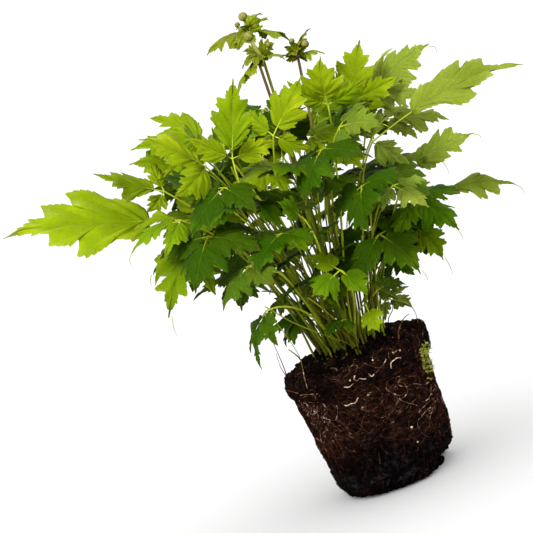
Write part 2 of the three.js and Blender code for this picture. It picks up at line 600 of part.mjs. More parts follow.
const plant = new THREE.Group();
const placed = []; // every solid that later ones keep clear of, with its box
const keep = (solid) => placed.push({ solid, box: solid.boundingBox() });
const isClear = (solid) => {
  const box = solid.boundingBox();
  return placed.every((other) => apart(box, other.box) || solid.intersect(other.solid).isEmpty());
};

const specs = [...PLACED, ...tierLeaves].map((leaf) => ({ ...USUAL, ...leaf }));
const flowerRoots = FLOWERS.map(({ whorl }) => takeSlot(vec(whorl)));
const roots = specs.map(({ at }) => takeSlot(vec(at)));

let ball = rootBall();
let looseBall = ball; // with room in its holes for a leaf and the clearance round it
for (const slot of [...flowerRoots, ...roots]) {
  ball = ball.subtract(holeAt(slot, flowerRoots.includes(slot) ? FLOWER_HOLE_EXTRA : 0));
  looseBall = looseBall.subtract(holeAt(slot, 2 * CLEARANCE));
}
plant.add(meshOf("root_ball", ball, COLOURS.soil, 0.95));
keep(looseBall);

FLOWERS.forEach((flower, i) => {
  const stem = flowerStem(flower, flowerRoots[i]);
  plant.add(meshOf(`flower_stem_${i + 1}`, stem, COLOURS.stalk, 0.6));
  keep(stem);
  flower.buds.forEach((bud, k) => {
    const solid = budSolid(flower.whorl, bud);
    plant.add(meshOf(`bud_${i + 1}${"ab"[k]}`, solid, COLOURS.bud, 0.6));
    keep(solid);
  });
});

specs.forEach((spec, index) => {
  let attempt = 0;
  let shape = dressed(spec, index);
  const fits = (moved) => isClear(leafFrom(moved, roots[index], CLEARANCE));
  while (attempt < TRIES && !fits(nudged(shape, index, attempt))) attempt++;
  shape = nudged(shape, index, attempt);
  const solid = leafFrom(shape, roots[index]);
  const { colour } = LEAF_TONES.find((tone) => spec.dark <= tone.upTo);
  plant.add(meshOf(`leaf_${two(index + 1)}`, solid, colour, 0.55));
  keep(solid);
});

export default plant;
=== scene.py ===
import math

import bpy
import numpy as np
from mathutils import Matrix, Vector, noise


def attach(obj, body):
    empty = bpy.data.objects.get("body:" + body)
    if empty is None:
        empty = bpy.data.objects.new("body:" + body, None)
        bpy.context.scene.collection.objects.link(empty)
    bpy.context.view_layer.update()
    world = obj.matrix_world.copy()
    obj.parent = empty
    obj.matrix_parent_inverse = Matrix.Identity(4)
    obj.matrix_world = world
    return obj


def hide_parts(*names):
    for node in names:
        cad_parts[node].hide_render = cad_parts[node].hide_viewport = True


# Looks of a Japanese anemone lifted out of its pot: fine toothed leaves, flower stems, and a root ball in its
# net of roots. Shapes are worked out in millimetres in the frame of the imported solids, and turned to
# metres in one place.

MM = 0.001

# The rule that the solids' leaves were placed by
SEED = 20260
SLOT_SPACING = 4.3
SLOT_COUNT = 62
SLOT_LEAN = 1.35
SLOT_LEAST_RISE = 60
GOLDEN_ANGLE = math.pi * (3 - math.sqrt(5))
STEM_FOOT = 109
STEM_FREE = 127
STEM_RADIUS_LOW = 1.45
STEM_RADIUS_HIGH = 1.0
LEAVE_OUT = 0.55
LEAVE_UP = 0.45
LEAVE_PULL = 0.35
ARRIVE_PULL = 0.3
BEND_POWER = 1.35
RIB_SAMPLES = 24
FOLD = math.radians(13)
WAVE = 0.022
WAVE_COUNT = 1.6
WAVE_FULL = 0.15  # the half width at which the edge waves in full, as a share of the length
TWIST = 16
STALK = 9
SIDE_STALK = 0.6
SIDE_BEND = 0.9
SIDE_BROADER = 0.15
UP_LEAN = 0.35
TRIES = 500
NUDGE = 1.1
NUDGE_ROLL = 2
SAME_PLACE = 0.03  # a vertex of the solid this near to a leaf's tip shows that the leaf was placed so

# Half outlines of a leaflet: share of its length from the stalk, and width as a share of its length
SLIM = np.array([[0, 0.01], [0.1, 0.1], [0.3, 0.135], [0.5, 0.215], [0.53, 0.14], [0.67, 0.18], [0.7, 0.1],
                 [0.83, 0.075], [1, 0]])
BROAD = np.array([[0, 0.012], [0.02, 0.26], [0.22, 0.4], [0.52, 0.5], [0.48, 0.27], [0.72, 0.3], [0.73, 0.19],
                  [0.85, 0.12], [1, 0]])
MIDDLE_POINTS = [0, 1, 2, 3, 4, 5, 6, 7, 8]
SIDE_POINTS = [0, 1, 3, 4, 5, 6, 8]
SIDE_INNER = 0.7

# The finer form that is added to the leaves, point by point of their outline
VEIN_STARTS = np.array([0, 0, 0.02, 0.08, 0.2, 0.34, 0.5, 0.64, 0.97])  # where its vein leaves the rib
VEIN_NUMBERS = np.array([0, 0.5, 1, 2, 2.5, 3, 3.5, 4, 5])  # whole on a main vein
DRAWN = np.zeros((9, 2))  # how far it is moved, to deepen the notches and draw out the tips
DRAWN[3:8] = [[0.03, 0.0], [-0.01, -0.035], [0.03, 0.004], [-0.01, -0.02], [-0.03, -0.018]]
BOWS = (0.1, 0.12, 0.16, -0.06, 0.14, -0.05, 0.06, -0.1)  # how far the stretch after it is bowed out
NOTCHES = (3, 5)  # the stretches that run back from a lobe's tip, without teeth
TOOTH_PITCH = 0.085  # as a share of the leaflet's length
PITCH_RANGE = (2.8, 6.0)
TOOTH_DEPTH = 0.36
TOOTH_LEAN = 0.3  # how far a tooth points forward
TOOTH_SIZES = (0.3, 1.0)
BIG_TOOTH = 1.75  # how much larger every third tooth is
TOOTH = ((0.0, 0.0), (0.42, 0.68), (0.84, 1.0))  # along one tooth, and out from the edge
TOOTH_FADE = 6  # how soon the teeth fade away from the edge inwards
TIP_TEETH = 0.25
BASE_TEETH = 0.35
COLUMNS = (0.12, 0.34, 0.57, 0.8, 1.0)  # from the rib to the edge
INNER_COLUMNS = (0.2, 0.7, 1.0)  # of the small inner leaves
BLADE_HALF = 0.2
RIB_RIDGE = 0.6
RIB_REACH = 0.9
RIB_THINS = 0.7
PUFF = 0.026  # the blade is raised between its veins, as a share of its length
FLUTTER = 0.034
FLUTTER_COUNT = 1.9
FLUTTER_SHIFT = 0.8 * math.pi  # of the right half forward and the left half back
FLUTTER_FULL = 8  # the half width at which the margin flutters in full
CURLS = (0.1, 1.7)  # how far the margins bend back down
HOOK = 0.07  # how far a tip may bend to a side, as a share of the length
HOOK_FROM = 0.6
HOOK_SINK = 0.4
GREEN = (0.0, 0.7)  # how much bluer a leaflet's green is
GREEN_LEAST = 0.4  # the share of that which the youngest leaves have
TONE_SLOPE = 0.08  # how much darker a blade is at its rib and lighter at its tip
TONE_WAVE = 0.03
TONE_WAVES = 5
SIDE_TONES = (-0.07, 0.1)
DRY_FADE = 14  # how soon the dry brown of a tip fades along the leaf
STEM_SLIM = 0.72
STEM_SHADES = 0.6
STEM_BENDS = 7  # how far a stem may wander, in millimetres
STEM_SIDES = 7
STEM_TONE_RISE = 0.6  # how soon a stem is as light as at its top; below that it darkens towards its foot, partly its browner base and partly painted shade in the crowded crown
LITTLE_SHADE = 0.7  # how much darker the little stalks of a dark leaf are
LITTLE_RINGS = 9
LITTLE_SIDES = 6
LITTLE_SINK = 0.5  # how far its end lies in the rib, as a share of its radius
LITTLE_RUN = 0.35  # how far a little stalk runs under its blade, as a share of the blade's length
LITTLE_TAPER = 0.35
SIDE_THIN = 0.8
TAIL_SAG = 42  # leaves that bend more than this end in a dry thread
TAIL_LENGTH = 15
TAIL_SHORTER = 0.6
TAIL_COURSE = ((0.4, 0), (0.5, 0.4), (0.3, 1))  # onward and down, as shares of its length
TAIL_RADII = (0.4, 0.12)
TAIL_TONES = (0.7, -0.6)
TAIL_FROM = 0.97
TAIL_STEPS = 10

# The leaves that give the plant its outline: junction, tip of the middle leaflet, degrees of bend, of roll
# and of splay, how broad and how dark the leaf is, and the side leaflets' size, where they aren't the usual
USUAL = dict(stalk=STALK, sag=35, roll=0, sides=0.9, splay=66)
# How dark a leaf is holds its age and also painted shade: leaves that lie in shade are given darker colours.
PLACED = [
    dict(at=(-77, -5, 265), tip=(-235, -30, 320), stalk=46, sag=10, roll=-44, broad=0.3, dark=0, sides=0.35),
    dict(at=(76, -15, 277), tip=(215, -25, 296), stalk=42, sag=36, roll=34, broad=0.2, dark=0.2, sides=0.4),
    dict(at=(-59, -45, 311), tip=(-101, -58, 356), sag=20, roll=-50, broad=0.4, dark=0.12),
    dict(at=(-52, 18, 324), tip=(-114, 14, 338), sag=40, roll=-35, broad=0.2, dark=0.12, splay=42),
    dict(at=(-99, -10, 300), tip=(-148, -20, 336), sag=-12, roll=-40, broad=0.3, dark=0.15, sides=0.55),
    dict(at=(-37, -60, 312), tip=(-13, -60, 373), sag=-22, roll=150, broad=0.28, dark=0.12, sides=0.6),
    dict(at=(1, -65, 320), tip=(39, -74, 357), sag=30, roll=100, broad=0.5, dark=0.05, sides=0.6, splay=80),
    dict(at=(52, -35, 322), tip=(58, -54, 364), roll=120, broad=0.85, dark=0, splay=58),
    dict(at=(74, 10, 311), tip=(99, 15, 356), roll=45, broad=0.6, dark=0.05, splay=58),
    dict(at=(93, 25, 309), tip=(152, 20, 330), sag=48, roll=28, broad=0.45, dark=0.12, sides=0.8, splay=50),
    dict(at=(94, 34, 284), tip=(148, 40, 262), roll=25, broad=0.4, dark=0.15, sides=0.6, splay=42),
    dict(at=(97, -15, 243), tip=(158, -25, 254), sag=46, roll=42, broad=0.3, dark=0.22, sides=0),
    dict(at=(110, 5, 212), tip=(180, 10, 194), sag=44, roll=22, broad=0.1, dark=0.4, sides=0),
    dict(at=(-98, -48, 279), tip=(-150, -62, 273), sag=52, roll=-20, broad=0.1, dark=0.2, splay=42),
    dict(at=(-86, -32, 256), tip=(-136, -55, 205), sag=60, roll=-20, broad=0.1, dark=0.3, sides=0.8,
        splay=36),
    dict(at=(-78, 9, 306), tip=(-136, 9, 331), sag=40, roll=-30, broad=0.2, dark=0.2, sides=0.55, splay=50),
    dict(at=(-56, -85, 230), tip=(-88, -108, 208), roll=-20, broad=0.9, dark=0.95, sides=1),
    dict(at=(52, -90, 258), tip=(43, -124, 226), broad=1, dark=1, splay=80),
    dict(at=(12, -84, 199), tip=(-17, -102, 190), sag=15, roll=-62, broad=1, dark=0.55, sides=1, splay=85),
    dict(at=(-22, -82, 244), tip=(-52, -112, 226), roll=-15, broad=0.9, dark=0.9, splay=78),
    dict(at=(-75, -70, 262), tip=(-100, -98, 226), broad=0.9, dark=1, sides=1, splay=78),
    dict(at=(-12, 32, 297), tip=(38, 52, 294), roll=-50, broad=1, dark=0.7, sides=1, splay=62),
    dict(at=(-40, 30, 312), tip=(-22, 34, 346), sag=24, roll=-20, broad=0.5, dark=0.35, sides=0.7, splay=56),
    dict(at=(82, -50, 250), tip=(116, -76, 220), roll=10, broad=0.8, dark=0.8, sides=1, splay=76),
    dict(at=(81, -25, 204), tip=(98, -44, 168), sag=58, broad=0.5, dark=0.5),
    dict(at=(-56, -88, 190), tip=(-77, -104, 150), sag=40, roll=-10, broad=0.2, dark=0.75, splay=42),
    dict(at=(22, -58, 160), tip=(24, -78, 138), broad=0.9, dark=0.25, sides=0),
    dict(at=(-51, -70, 297), tip=(-92, -98, 272), sag=40, roll=-30, broad=0.7, dark=0.9, splay=74),
    dict(at=(72, -80, 252), tip=(92, -104, 230), sag=20, roll=10, broad=0.6, dark=0.2, sides=0.8),
    dict(at=(0, -75, 247), tip=(-16, -92, 271), sag=10, roll=-100, broad=0.8, dark=0.6, sides=0),
    dict(at=(51, -50, 206), tip=(78, -80, 176), sag=45, broad=0.4, dark=0.85),
    dict(at=(-2, -30, 332), tip=(-28, -58, 316), roll=-30, broad=0.8, dark=0.85, splay=74),
    dict(at=(93, -40, 222), tip=(114, -68, 190), sag=45, broad=0.75, dark=0.72, splay=74),
    dict(at=(54, -60, 305), tip=(90, -84, 296), sag=50, roll=40, broad=0.5, dark=0.5, sides=0.8),
    dict(at=(36, -75, 294), tip=(10, -112, 258), roll=-25, broad=0.85, dark=0.9, splay=76),
]
TURNED = (2, 10, 11, 12, 13, 17, 24, 29, 34)  # leaves that show the picture their pale underside
# The lower tiers are darker: painted shade low in the plant, together with their age.
TIERS = [
    dict(count=3, height=196, reach=72, rise=-30, length=60, broad=0.7, dark=0.85),
    dict(count=4, height=244, reach=92, rise=-16, length=72, broad=0.6, dark=0.7),
    dict(count=3, height=294, reach=86, rise=6, length=74, broad=0.45, dark=0.35),
]
TIER_FROM = math.radians(8)
TIER_TO = math.radians(172)
TIER_SAG = 48
TIER_SPREAD = dict(rise=14, heading=0.5, height=14, sag=14, roll=25, tone=0.25)  # to either side
TIER_RANGE = dict(place=(0.3, 0.7), reach=(0.75, 1.1), length=(0.85, 1.2), sides=(0.7, 0.95), splay=(52, 74))

# Small leaves inside the plant, which the solids leave out: in layers from the crown up. The lower layers are
# darker, partly with age and partly as painted shade deep in the plant.
INNER_LAYERS = [
    dict(count=12, heights=(146, 185), reach=(10, 50), rise=(-50, 0), length=(22, 36), dark=(0.7, 1.2)),
    dict(count=18, heights=(185, 245), reach=(10, 66), rise=(-40, 15), length=(34, 54), dark=(0.6, 1.1)),
    dict(count=18, heights=(240, 292), reach=(16, 78), rise=(-30, 35), length=(36, 58), dark=(0.5, 1.05)),
    dict(count=10, heights=(285, 322), reach=(12, 62), rise=(-20, 45), length=(32, 48), dark=(0.2, 0.85)),
]
INNER_SPREAD = dict(azimuth=0.3, heading=1.1, roll=40, turn=1.3)  # to either side
INNER_RANGE = dict(
    sag=(25, 60), broad=(0.2, 0.9), sides=(0.7, 0.95), splay=(50, 76), out=(0.5, 1.1), thick=(0.8, 1.25),
)
INNER_STALK = 5
INNER_STEM = 0.58
INNER_RADII = (1.5, 1)
# The inner stems are darker towards their foot: their browner base and painted shade.
INNER_TONES = (0.2, 1)
YOUNG_AND_LIT_SHARE = 0.28  # of the inner leaves are still light: young, and lighter as painted light among the shaded ones
YOUNG_AND_LIT_TONE = 0.35
INNER_COARSE = 1.35
INNER_PIECE = 18  # leaves in one piece
INNER_INDEX = 200  # where the numbers of the inner leaves begin

# Flower stems
FLOWER_RADIUS_LOW = 1.7
FLOWER_RADIUS_HIGH = 1.2
FLOWER_BOW = 6
PEDICEL_RADIUS = 0.75
PEDICEL_FLARE = 1.2
BUD_SUNK = 0.95
BRACT = dict(sag=50, roll=0, stalk=4, broad=0.6, splay=52, twist=(0.2, 0.1, -0.1))
FLOWERS = [
    dict(
        whorl=(16, -18, 375),
        tones=(0.0, 0.45),
        bracts=((-15, -30, 354, 0), (33, -32, 369, 0), (1, -6, 367, 0)),
        buds=((11.5, -22, 396, 4.2), (24, -14, 383, 2.4)),
    ),
    dict(
        whorl=(13, 12, 396),
        tones=(0.3, 0.6),
        bracts=((-26, 4, 391, 0.7), (34, 30, 398, 0), (44, 26, 374, 0)),
        buds=((13.4, 10, 410, 3.9), (7, 24, 404, 2.4)),
    ),
    dict(
        whorl=(44, 0, 364),
        tones=(0.0, 0.6),
        bracts=((62, 4, 382, 0), (66, -10, 359, 0), (29, -8, 369, 0)),
        buds=((53, -6, 372, 3.3), (44, 6, 377, 2.4)),
    ),
]
BRACT_TONES = (0.0, 0.7)
BUD_GRID = (25, 40)
SEPALS = 5
SEPAL_LEAN = 0.5
SEAM_DEPTH = 0.08
SEAM_POWER = 0.3  # the smaller, the narrower a seam
SEAM_PINK_AND_LIGHT = 0.3  # the share of the pink flush and the painted light that is left in a seam, so that the seams are painted darker
BUD_POWER = 0.85  # the smaller, the blunter a bud
BUD_PINK_AND_LIGHT_SIDE = (-0.5, -0.6, 0.6)  # the side of the buds that is flushed with pink and painted lighter, towards the key lamp; the far side is painted darker
BUD_PINK_AND_LIGHT_SHARES = (0.3, 0.6)  # all round, and more on that side
BUD_LENGTHS = (1.03, 0.95)  # from the middle to the tip and to the foot, as shares of the radius
BUD_HAIRS = 220
BUD_HAIR_FOOT = 0.93  # as a share of the radius
HAIR_LENGTH = 0.7
HAIR_LENGTHS = (0.6, 1.2)
HAIR_LEAN = 0.7  # how far the hairs of a bud lean to its tip
PEDICEL_HAIRS = 90
PEDICEL_HAIR_FOOT = 0.8  # as a share of the radius
PEDICEL_TONE = (0.2, 0.8)
PEDICEL_LENGTHS = (0.6, 1.3)
PEDICEL_STEPS = 8
STOUT_ABOVE = 4  # the largest bud stands on a stout hairy stalk
STOUT = 2.0
SLENDER = 2.9  # the radius of a bud whose stalk has the usual radius
STOUTEST = 1.3
RUFFLES = 8  # small crumpled leaves round each whorl
RUFFLE = dict(broad=0.9, stalk=1.2, sides=0)
RUFFLE_RANGE = dict(rise=(-40, 50), foot=(-2, 3), length=(9, 21), sag=(20, 110))
RUFFLE_ROLL = 60
RUFFLE_THIN = 0.5
HAIR_WIDTH = 0.05

# Root ball: the solid's sizes and the rule of its wall
RIM_RADIUS = 64
BALL_HEIGHT = 117
COLLAR_HEIGHT = 21
COLLAR_STEP = 3.4
FOOT_RADIUS = 42
FOOT_CURVE = 9
WALL_LOW_RADIUS = 52
CROWN_RISE = 8
CROWN_RADIUS = 26
CROWN_TILT = 2.5
CROWN_WAVES = ((3, 1.5), (8, 0.9))  # count round the ball, and height
LUMPS = ((5, 0.06, 0.9), (11, -0.09, 0.6))  # count round the ball, climb and depth
CHIP_AT = math.radians(-20)
CHIP_HALF_WIDTH = math.radians(40)
CHIP_HEIGHT = 16
CHIP_DEPTH = 9
CHIP_RISE = 8

# What is fine on the root ball
BLACK_BELOW = 42  # the lowest part is black and crumbly
BALL_ROWS = 164
BALL_COLUMNS = 384
FINE_GRAIN = (0.5, 1.9)  # how deep and how large the grains of the surface are
CRUMB_GRAIN = (0.7, 4.2)
LUMP_GRAIN = (1.3, 11)
CLOD_GRAIN = (2.1, 5.5)
BIT_GRAIN = (1.3, 2.7)
CLOD_SINK = 0.6
FOOT_COARSE = (10, 14)  # how far under the top of the black part it begins to fade, and over what height
FOOT_COARSER = 0.8
TOP_COARSE = 5
EDGE_GRAIN = (12, 13)  # of the uneven edge of the black part, where the roots end
EDGE_RANGE = (-9, 8)
STRAND_STEP = 1.7
STRAND_CURL = 0.5
STRAND_WANDER = 1.9
STRAND_TURN = 0.3
STRAND_PLACES = 8  # in each stretch of a loose strand
STRAND_SMOOTHED = 10
RIDGE_SUNK = 0.4  # how deep the feet of a root lie, as a share of its radius
ROOT_WAVE = 0.9  # how fast a root weaves up and down, in radians at each step
ROOT_THINS = 0.45
PEBBLE_KNOBS = 0.22
PEBBLE_NARROW = 0.7
CHIP_COUNT = 420
CHIP_SIZES = (0.8, 3.2)
CHIP_FLATS = (0.25, 0.8)
CHIP_TONE = 0.5  # of the lightest
CRUMB_COUNT = 900
CRUMB_SIZES = (0.5, 1.8)
CRUMB_FLAT = 0.8
CRUMB_TONE = 0.3
CRUMB_LOW = 1.6  # more than 1, so that most of them lie low on the ball
FOOT_CRUMBS = 5  # round the foot of each stem
FOOT_CRUMB_SIZES = (0.9, 2.4)
FOOT_CRUMB_REACH = (1, 3.2)
FOOT_CRUMB_TONE = 0.35
CROWN_TOPS = (124, 121.5)
MOSS_SHOOTS = 120
MOSS_ACROSS = (48, 59.5)
MOSS_HEIGHTS = (76, 104)
MOSS_LENGTHS = (1, 4)
MOSS_LEAFLETS = 7
MOSS_LEAFLET = (1.0, 2.2)
MOSS_WIDTH = 0.42
MOSS_SUNK = -0.4
MOSS_LEAN = 0.9
PEBBLE_GRID = (5, 6)
ROOT_PATCHES = 0.45  # how much lighter and darker the roots are from place to place
PATCH_SIZE = 15
ROOT_NET = dict(count=1500, zone=(20, 96), steps=(12, 26), radius=(0.2, 0.44), sparse=-0.3)
ROOT_LAYERS = dict(
    root_net_1=dict(seed=11, tone=(0.2, 0.6), **ROOT_NET),
    root_net_2=dict(seed=15, tone=(0.35, 0.72), **ROOT_NET),
    collar_roots=dict(
        seed=12, count=1100, zone=(92, 117), steps=(7, 15), radius=(0.18, 0.36), tone=(0.1, 0.62),
        heading=(1.1, 0.5),
    ),
    foot_roots=dict(
        seed=13, count=800, zone=(3, 44), steps=(5, 12), radius=(0.18, 0.4), tone=(0.0, 0.5), lift=(0.1, 0.9),
    ),
    pale_roots=dict(
        seed=14, count=14, zone=(44, 112), steps=(5, 11), radius=(0.18, 0.28), tone=(0.75, 0.92),
        lift=(0.3, 1.0),
    ),
)

# What lies on the side of the ball that the picture shows, by x and height, with how far it stands out
WHITE_ROOTS = (  # radius, tone and points
    (0.36, 0.95, ((-6.5, 109, 0), (-8.4, 106, 1.5), (-6.6, 103.2, 1.6), (-4, 105, 1.4), (-2, 102.6, 1),
                  (1, 101, 0))),
    (0.4, 0.94, ((23, 102, 0), (22.2, 104.5, 1.5), (22.8, 107.6, 1.6), (26, 107.4, 1.2), (29, 108, 1),
                 (33, 105.4, 0))),
    (0.55, 0.9, ((-23.5, 87.5, 0), (-21, 84.8, 1), (-17, 85.6, 1), (-14, 85, 0.8), (-10, 88.6, 0))),
    (0.7, 0.95, ((11.4, 117, 0.3), (11.2, 114, 1))),
    (0.4, 0.85, ((-18, 101.3, 0), (-14, 100.4, 1), (-10.5, 101.2, 0))),
    (0.4, 0.95, ((4.4, 105.5, 0), (5.6, 102, 1), (8.2, 102.6, 0.6))),
    (0.45, 0.85, ((-19.6, 115, 0), (-18, 112.5, 0.6))),
    (0.35, 0.8, ((-61, 107, 0), (-58, 106.6, 0.8), (-54, 103, 0))),
    (0.4, 0.82, ((-56, 99, 0), (-52, 103.4, 1), (-46, 103, 1.2), (-40, 101.4, 0))),
    (0.35, 0.8, ((-55, 97, 0), (-49, 101, 0.8), (-42, 99.6, 0))),
    (0.35, 0.72, ((5, 94.5, 0), (6.6, 90, 0.8), (8, 87.6, 0))),
    (0.3, 0.75, ((-11, 38, 0), (-12, 32, 0.8), (-13, 27.5, 0))),
)
GRANULES = (  # x, height, size, tone
    (22.2, 46.8, 1.3, 0.92), (22.3, 33.3, 1.0, 0.88), (-11.5, 106, 0.8, 0.95), (34, 110, 0.7, 0.95),
    (52, 101, 0.6, 0.9), (-2, 88, 1.2, 0.75), (28, 113, 0.6, 0.95), (-33, 70, 0.6, 0.7), (2, 62, 0.7, 0.65),
)
HANGING = (  # radius, tone, points: dry threads and pale stalks that hang over the rim
    (0.52, 0.3, ((-59.5, -12, 115), (-59, -13, 128), (-60, -14, 148))),
    (0.4, 0.45, ((-60, 0, 115), (-62, -2, 124), (-61, -4, 138))),
    (0.8, 0.3, ((-44, -36, 117), (-43, -38, 133), (-50, -40, 144))),
    (0.55, 0.1, ((33, -20, 119), (36, -20, 134), (44, -22, 140.5), (44.5, -22, 150))),
    (0.4, 0.15, ((44, -22, 140.5), (47, -22, 140))),
    (0.45, 0.8, ((58, -8, 112), (59.5, -10, 121), (60.5, -12, 129), (56, -16, 147))),
    (0.75, 0.78, ((37, -40, 114), (40, -41, 126), (48, -42, 134.6), (53.5, -42, 136))),
    (0.42, 0.84, ((-44.8, -54, 127), (-46.3, -54.8, 119), (-47, -55.2, 111))),
)
FALLEN_TONES = (0.55, 0.02)
FALLEN = (  # pale green stalks that have sunk down: radius and points
    (0.42, ((-53, -64, 178), (-48, -60, 162), (-43, -54, 138), (-45, -54, 126))),
    (0.55, ((-55, -68, 190), (-40, -60, 169), (-22, -46, 149), (-4, -30, 131), (2, -24, 121))),
    (0.55, ((-20, -66, 184), (-13, -58, 172), (-4, -44, 152), (4, -28, 134), (7, -20, 121))),
)

# Camera and light
CAMERA_DOWN = 10
CAMERA_ROLL = 21
CAMERA_TARGET = (-42.4, 0, 208.7)
CAMERA_DISTANCE = 2400
CAMERA_LENS = 193.8
WORLD_LIGHT = 1.2
LIGHTS = (  # name, place, size and power
    ("key", (-0.9, -1.2, 1.6), 0.8, 67),
    ("fill", (1.3, -1.0, 0.9), 1.2, 24),
    ("back", (0.3, 1.4, 1.5), 1.0, 16),
)
LIGHT_TARGET = (0, 0, 0.2)
FLOOR_HALF = 4
FLOOR_TONES = [(0.0, (249, 249, 249)), (1.0, (252, 252, 252))]

# Looks
YOUNG_UP_TO = 0.28  # the darkest tone of the leaves that the record calls young
GREEN_UP_TO = 0.65
GLOW_SHARE = 0.3  # the part of a leaf's light that shines through it
STALK_GLOW = 0.15
LEAF_PATCHES = (-0.04, 0.34)  # added to a leaf's tone
BLUER = (0.6, 0.95, 0.8, 1.0)  # what the bluest leaflet keeps of red, green and blue
DRY_COLOUR = (96, 62, 30)

# Colours along a ramp, from young to old, dark to light or foot to top. On the leaf ramps the darker end
# stands for age and also for painted shade; on the stem ramp the darker foot is partly painted shade.
LEAF_TONES = [(0.0, (142, 156, 12)), (0.18, (118, 136, 5)), (0.45, (102, 122, 4)), (0.72, (80, 104, 2)),
              (0.9, (56, 80, 1)), (1.0, (44, 67, 1))]
UNDER_TONES = [(0.0, (156, 166, 60)), (0.15, (136, 150, 44)), (0.5, (112, 128, 30)), (1.0, (76, 96, 12))]
VEIN_TONES = [(0.0, (156, 168, 40)), (0.2, (134, 150, 26)), (0.5, (116, 134, 18)), (1.0, (72, 97, 14))]
UNDER_VEIN_TONES = [(0.0, (184, 190, 104)), (0.5, (160, 170, 84)), (1.0, (120, 136, 52))]
GLOW_TONES = [(0.0, (160, 174, 3)), (0.2, (138, 156, 2)), (0.5, (118, 138, 1)), (0.9, (68, 90, 0)),
              (1.0, (48, 70, 0))]
BRACT_COLOURS = [(0.0, (148, 160, 26)), (0.5, (124, 138, 14)), (1.0, (96, 104, 14))]
BRACT_VEINS = [(0.0, (130, 138, 20)), (1.0, (84, 74, 22))]
STEM_TONES = [(0.0, (86, 88, 14)), (0.2, (112, 124, 16)), (0.55, (144, 160, 26)), (1.0, (172, 184, 54))]
FLOWER_TONES = [(0.0, (96, 84, 36)), (0.15, (106, 112, 30)), (0.45, (112, 110, 36)), (0.62, (98, 76, 48)),
                (1.0, (86, 56, 50))]
PEDICEL_TONES = [(0.0, (104, 112, 30)), (0.6, (126, 132, 56)), (1.0, (146, 146, 84))]
BUD_TONES = [(0.0, (54, 64, 8)), (0.5, (94, 100, 30)), (0.75, (118, 110, 62)), (1.0, (130, 102, 76))]
HAIR_TONES = [(0.0, (110, 112, 70)), (1.0, (150, 148, 108))]
ROOT_TONES = [(0.0, (3, 1, 1)), (0.35, (13, 5, 4)), (0.66, (49, 26, 18)), (0.85, (98, 67, 49)),
              (1.0, (208, 196, 166))]
CRUMB_TONES = [(0.0, (5, 4, 4)), (0.4, (26, 17, 13)), (0.75, (96, 74, 54)), (1.0, (206, 188, 134))]
MOSS_TONES = [(0.25, (104, 116, 24)), (0.5, (168, 176, 66)), (0.75, (216, 214, 140))]
SOIL_TONES = [(0.1, (4, 2, 1)), (0.6, (13, 7, 5)), (1.0, (40, 24, 18))]
PEAT_TONES = [(0.2, (1, 1, 1)), (0.6, (6, 5, 6)), (1.0, (30, 27, 29))]

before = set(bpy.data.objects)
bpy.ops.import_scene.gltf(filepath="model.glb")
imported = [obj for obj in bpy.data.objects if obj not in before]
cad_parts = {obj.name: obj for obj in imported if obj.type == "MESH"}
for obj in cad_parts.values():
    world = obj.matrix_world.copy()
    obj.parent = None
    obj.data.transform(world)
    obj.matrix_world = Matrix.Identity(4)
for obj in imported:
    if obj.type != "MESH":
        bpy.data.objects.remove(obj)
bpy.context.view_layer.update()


def unit(v):
    return v / np.linalg.norm(v)


def mix(a, b, t):
    return a + (b - a) * t


def random_from(seed):
    """Numbers from 0 to 1 that are the same on every run, and the same as the solids' own."""
    state = seed & 0xFFFFFFFF

    def step():
        nonlocal state
        state = (state * 1664525 + 1013904223) & 0xFFFFFFFF
        return state / 4294967296

    step()
    step()
    return step


def around(random, spread):
    return mix(-spread, spread, random())


def between(random, span):
    return mix(*span, random())


def tossed(random, sink=0.5):
    """A random vector. The sink is how far down it may point."""
    return np.array([random() - 0.5, random() - 0.5, random() - sink])


def polar(reach, azimuth, height):
    return [reach * math.cos(azimuth), reach * math.sin(azimuth), height]


def add_object(name, data):
    added = bpy.data.objects.new(name, data)
    bpy.context.scene.collection.objects.link(added)
    return added


class Shape:
    """The faces of one piece, with a material slot for each face and values for each vertex."""

    USUAL = dict(tone=0.5, spacing=1.0, dry=0.0, green=0.0)
    MAPS = ("blade", "flat")

    def __init__(self):
        self.places, self.faces, self.slots = [], [], []
        self.values = {label: [] for label in (*self.MAPS, *self.USUAL)}
        self.count = 0

    def add(self, places, faces, slot=0, **values):
        n = len(places)
        self.places.append(places)
        self.faces += [[self.count + corner for corner in face] for face in faces]
        self.slots += [slot] * len(faces)
        for label in self.MAPS:
            self.values[label].append(values.get(label, np.zeros((n, 2))))
        for label, usual in self.USUAL.items():
            self.values[label].append(np.broadcast_to(np.asarray(values.get(label, usual), float), (n,)))
        self.count += n

    def piece(self, name, *materials):
        """The Blender object, smooth, with its values as UV maps and attributes."""
        mesh = bpy.data.meshes.new(name)
        mesh.from_pydata((np.concatenate(self.places) * MM).tolist(), [], self.faces)
        for label in materials:
            mesh.materials.append(looks[label])
        mesh.polygons.foreach_set("material_index", self.slots)
        mesh.polygons.foreach_set("use_smooth", [True] * len(self.faces))
        corners = np.empty(len(mesh.loops), dtype=np.int32)
        mesh.loops.foreach_get("vertex_index", corners)
        for label in self.MAPS:
            layer = mesh.uv_layers.new(name=label)
            layer.uv.foreach_set("vector", np.concatenate(self.values[label])[corners].ravel())
        for label in self.USUAL:
            attribute = mesh.attributes.new(label, "FLOAT", "POINT")
            attribute.data.foreach_set("value", np.concatenate(self.values[label]))
        return add_object(name, mesh)


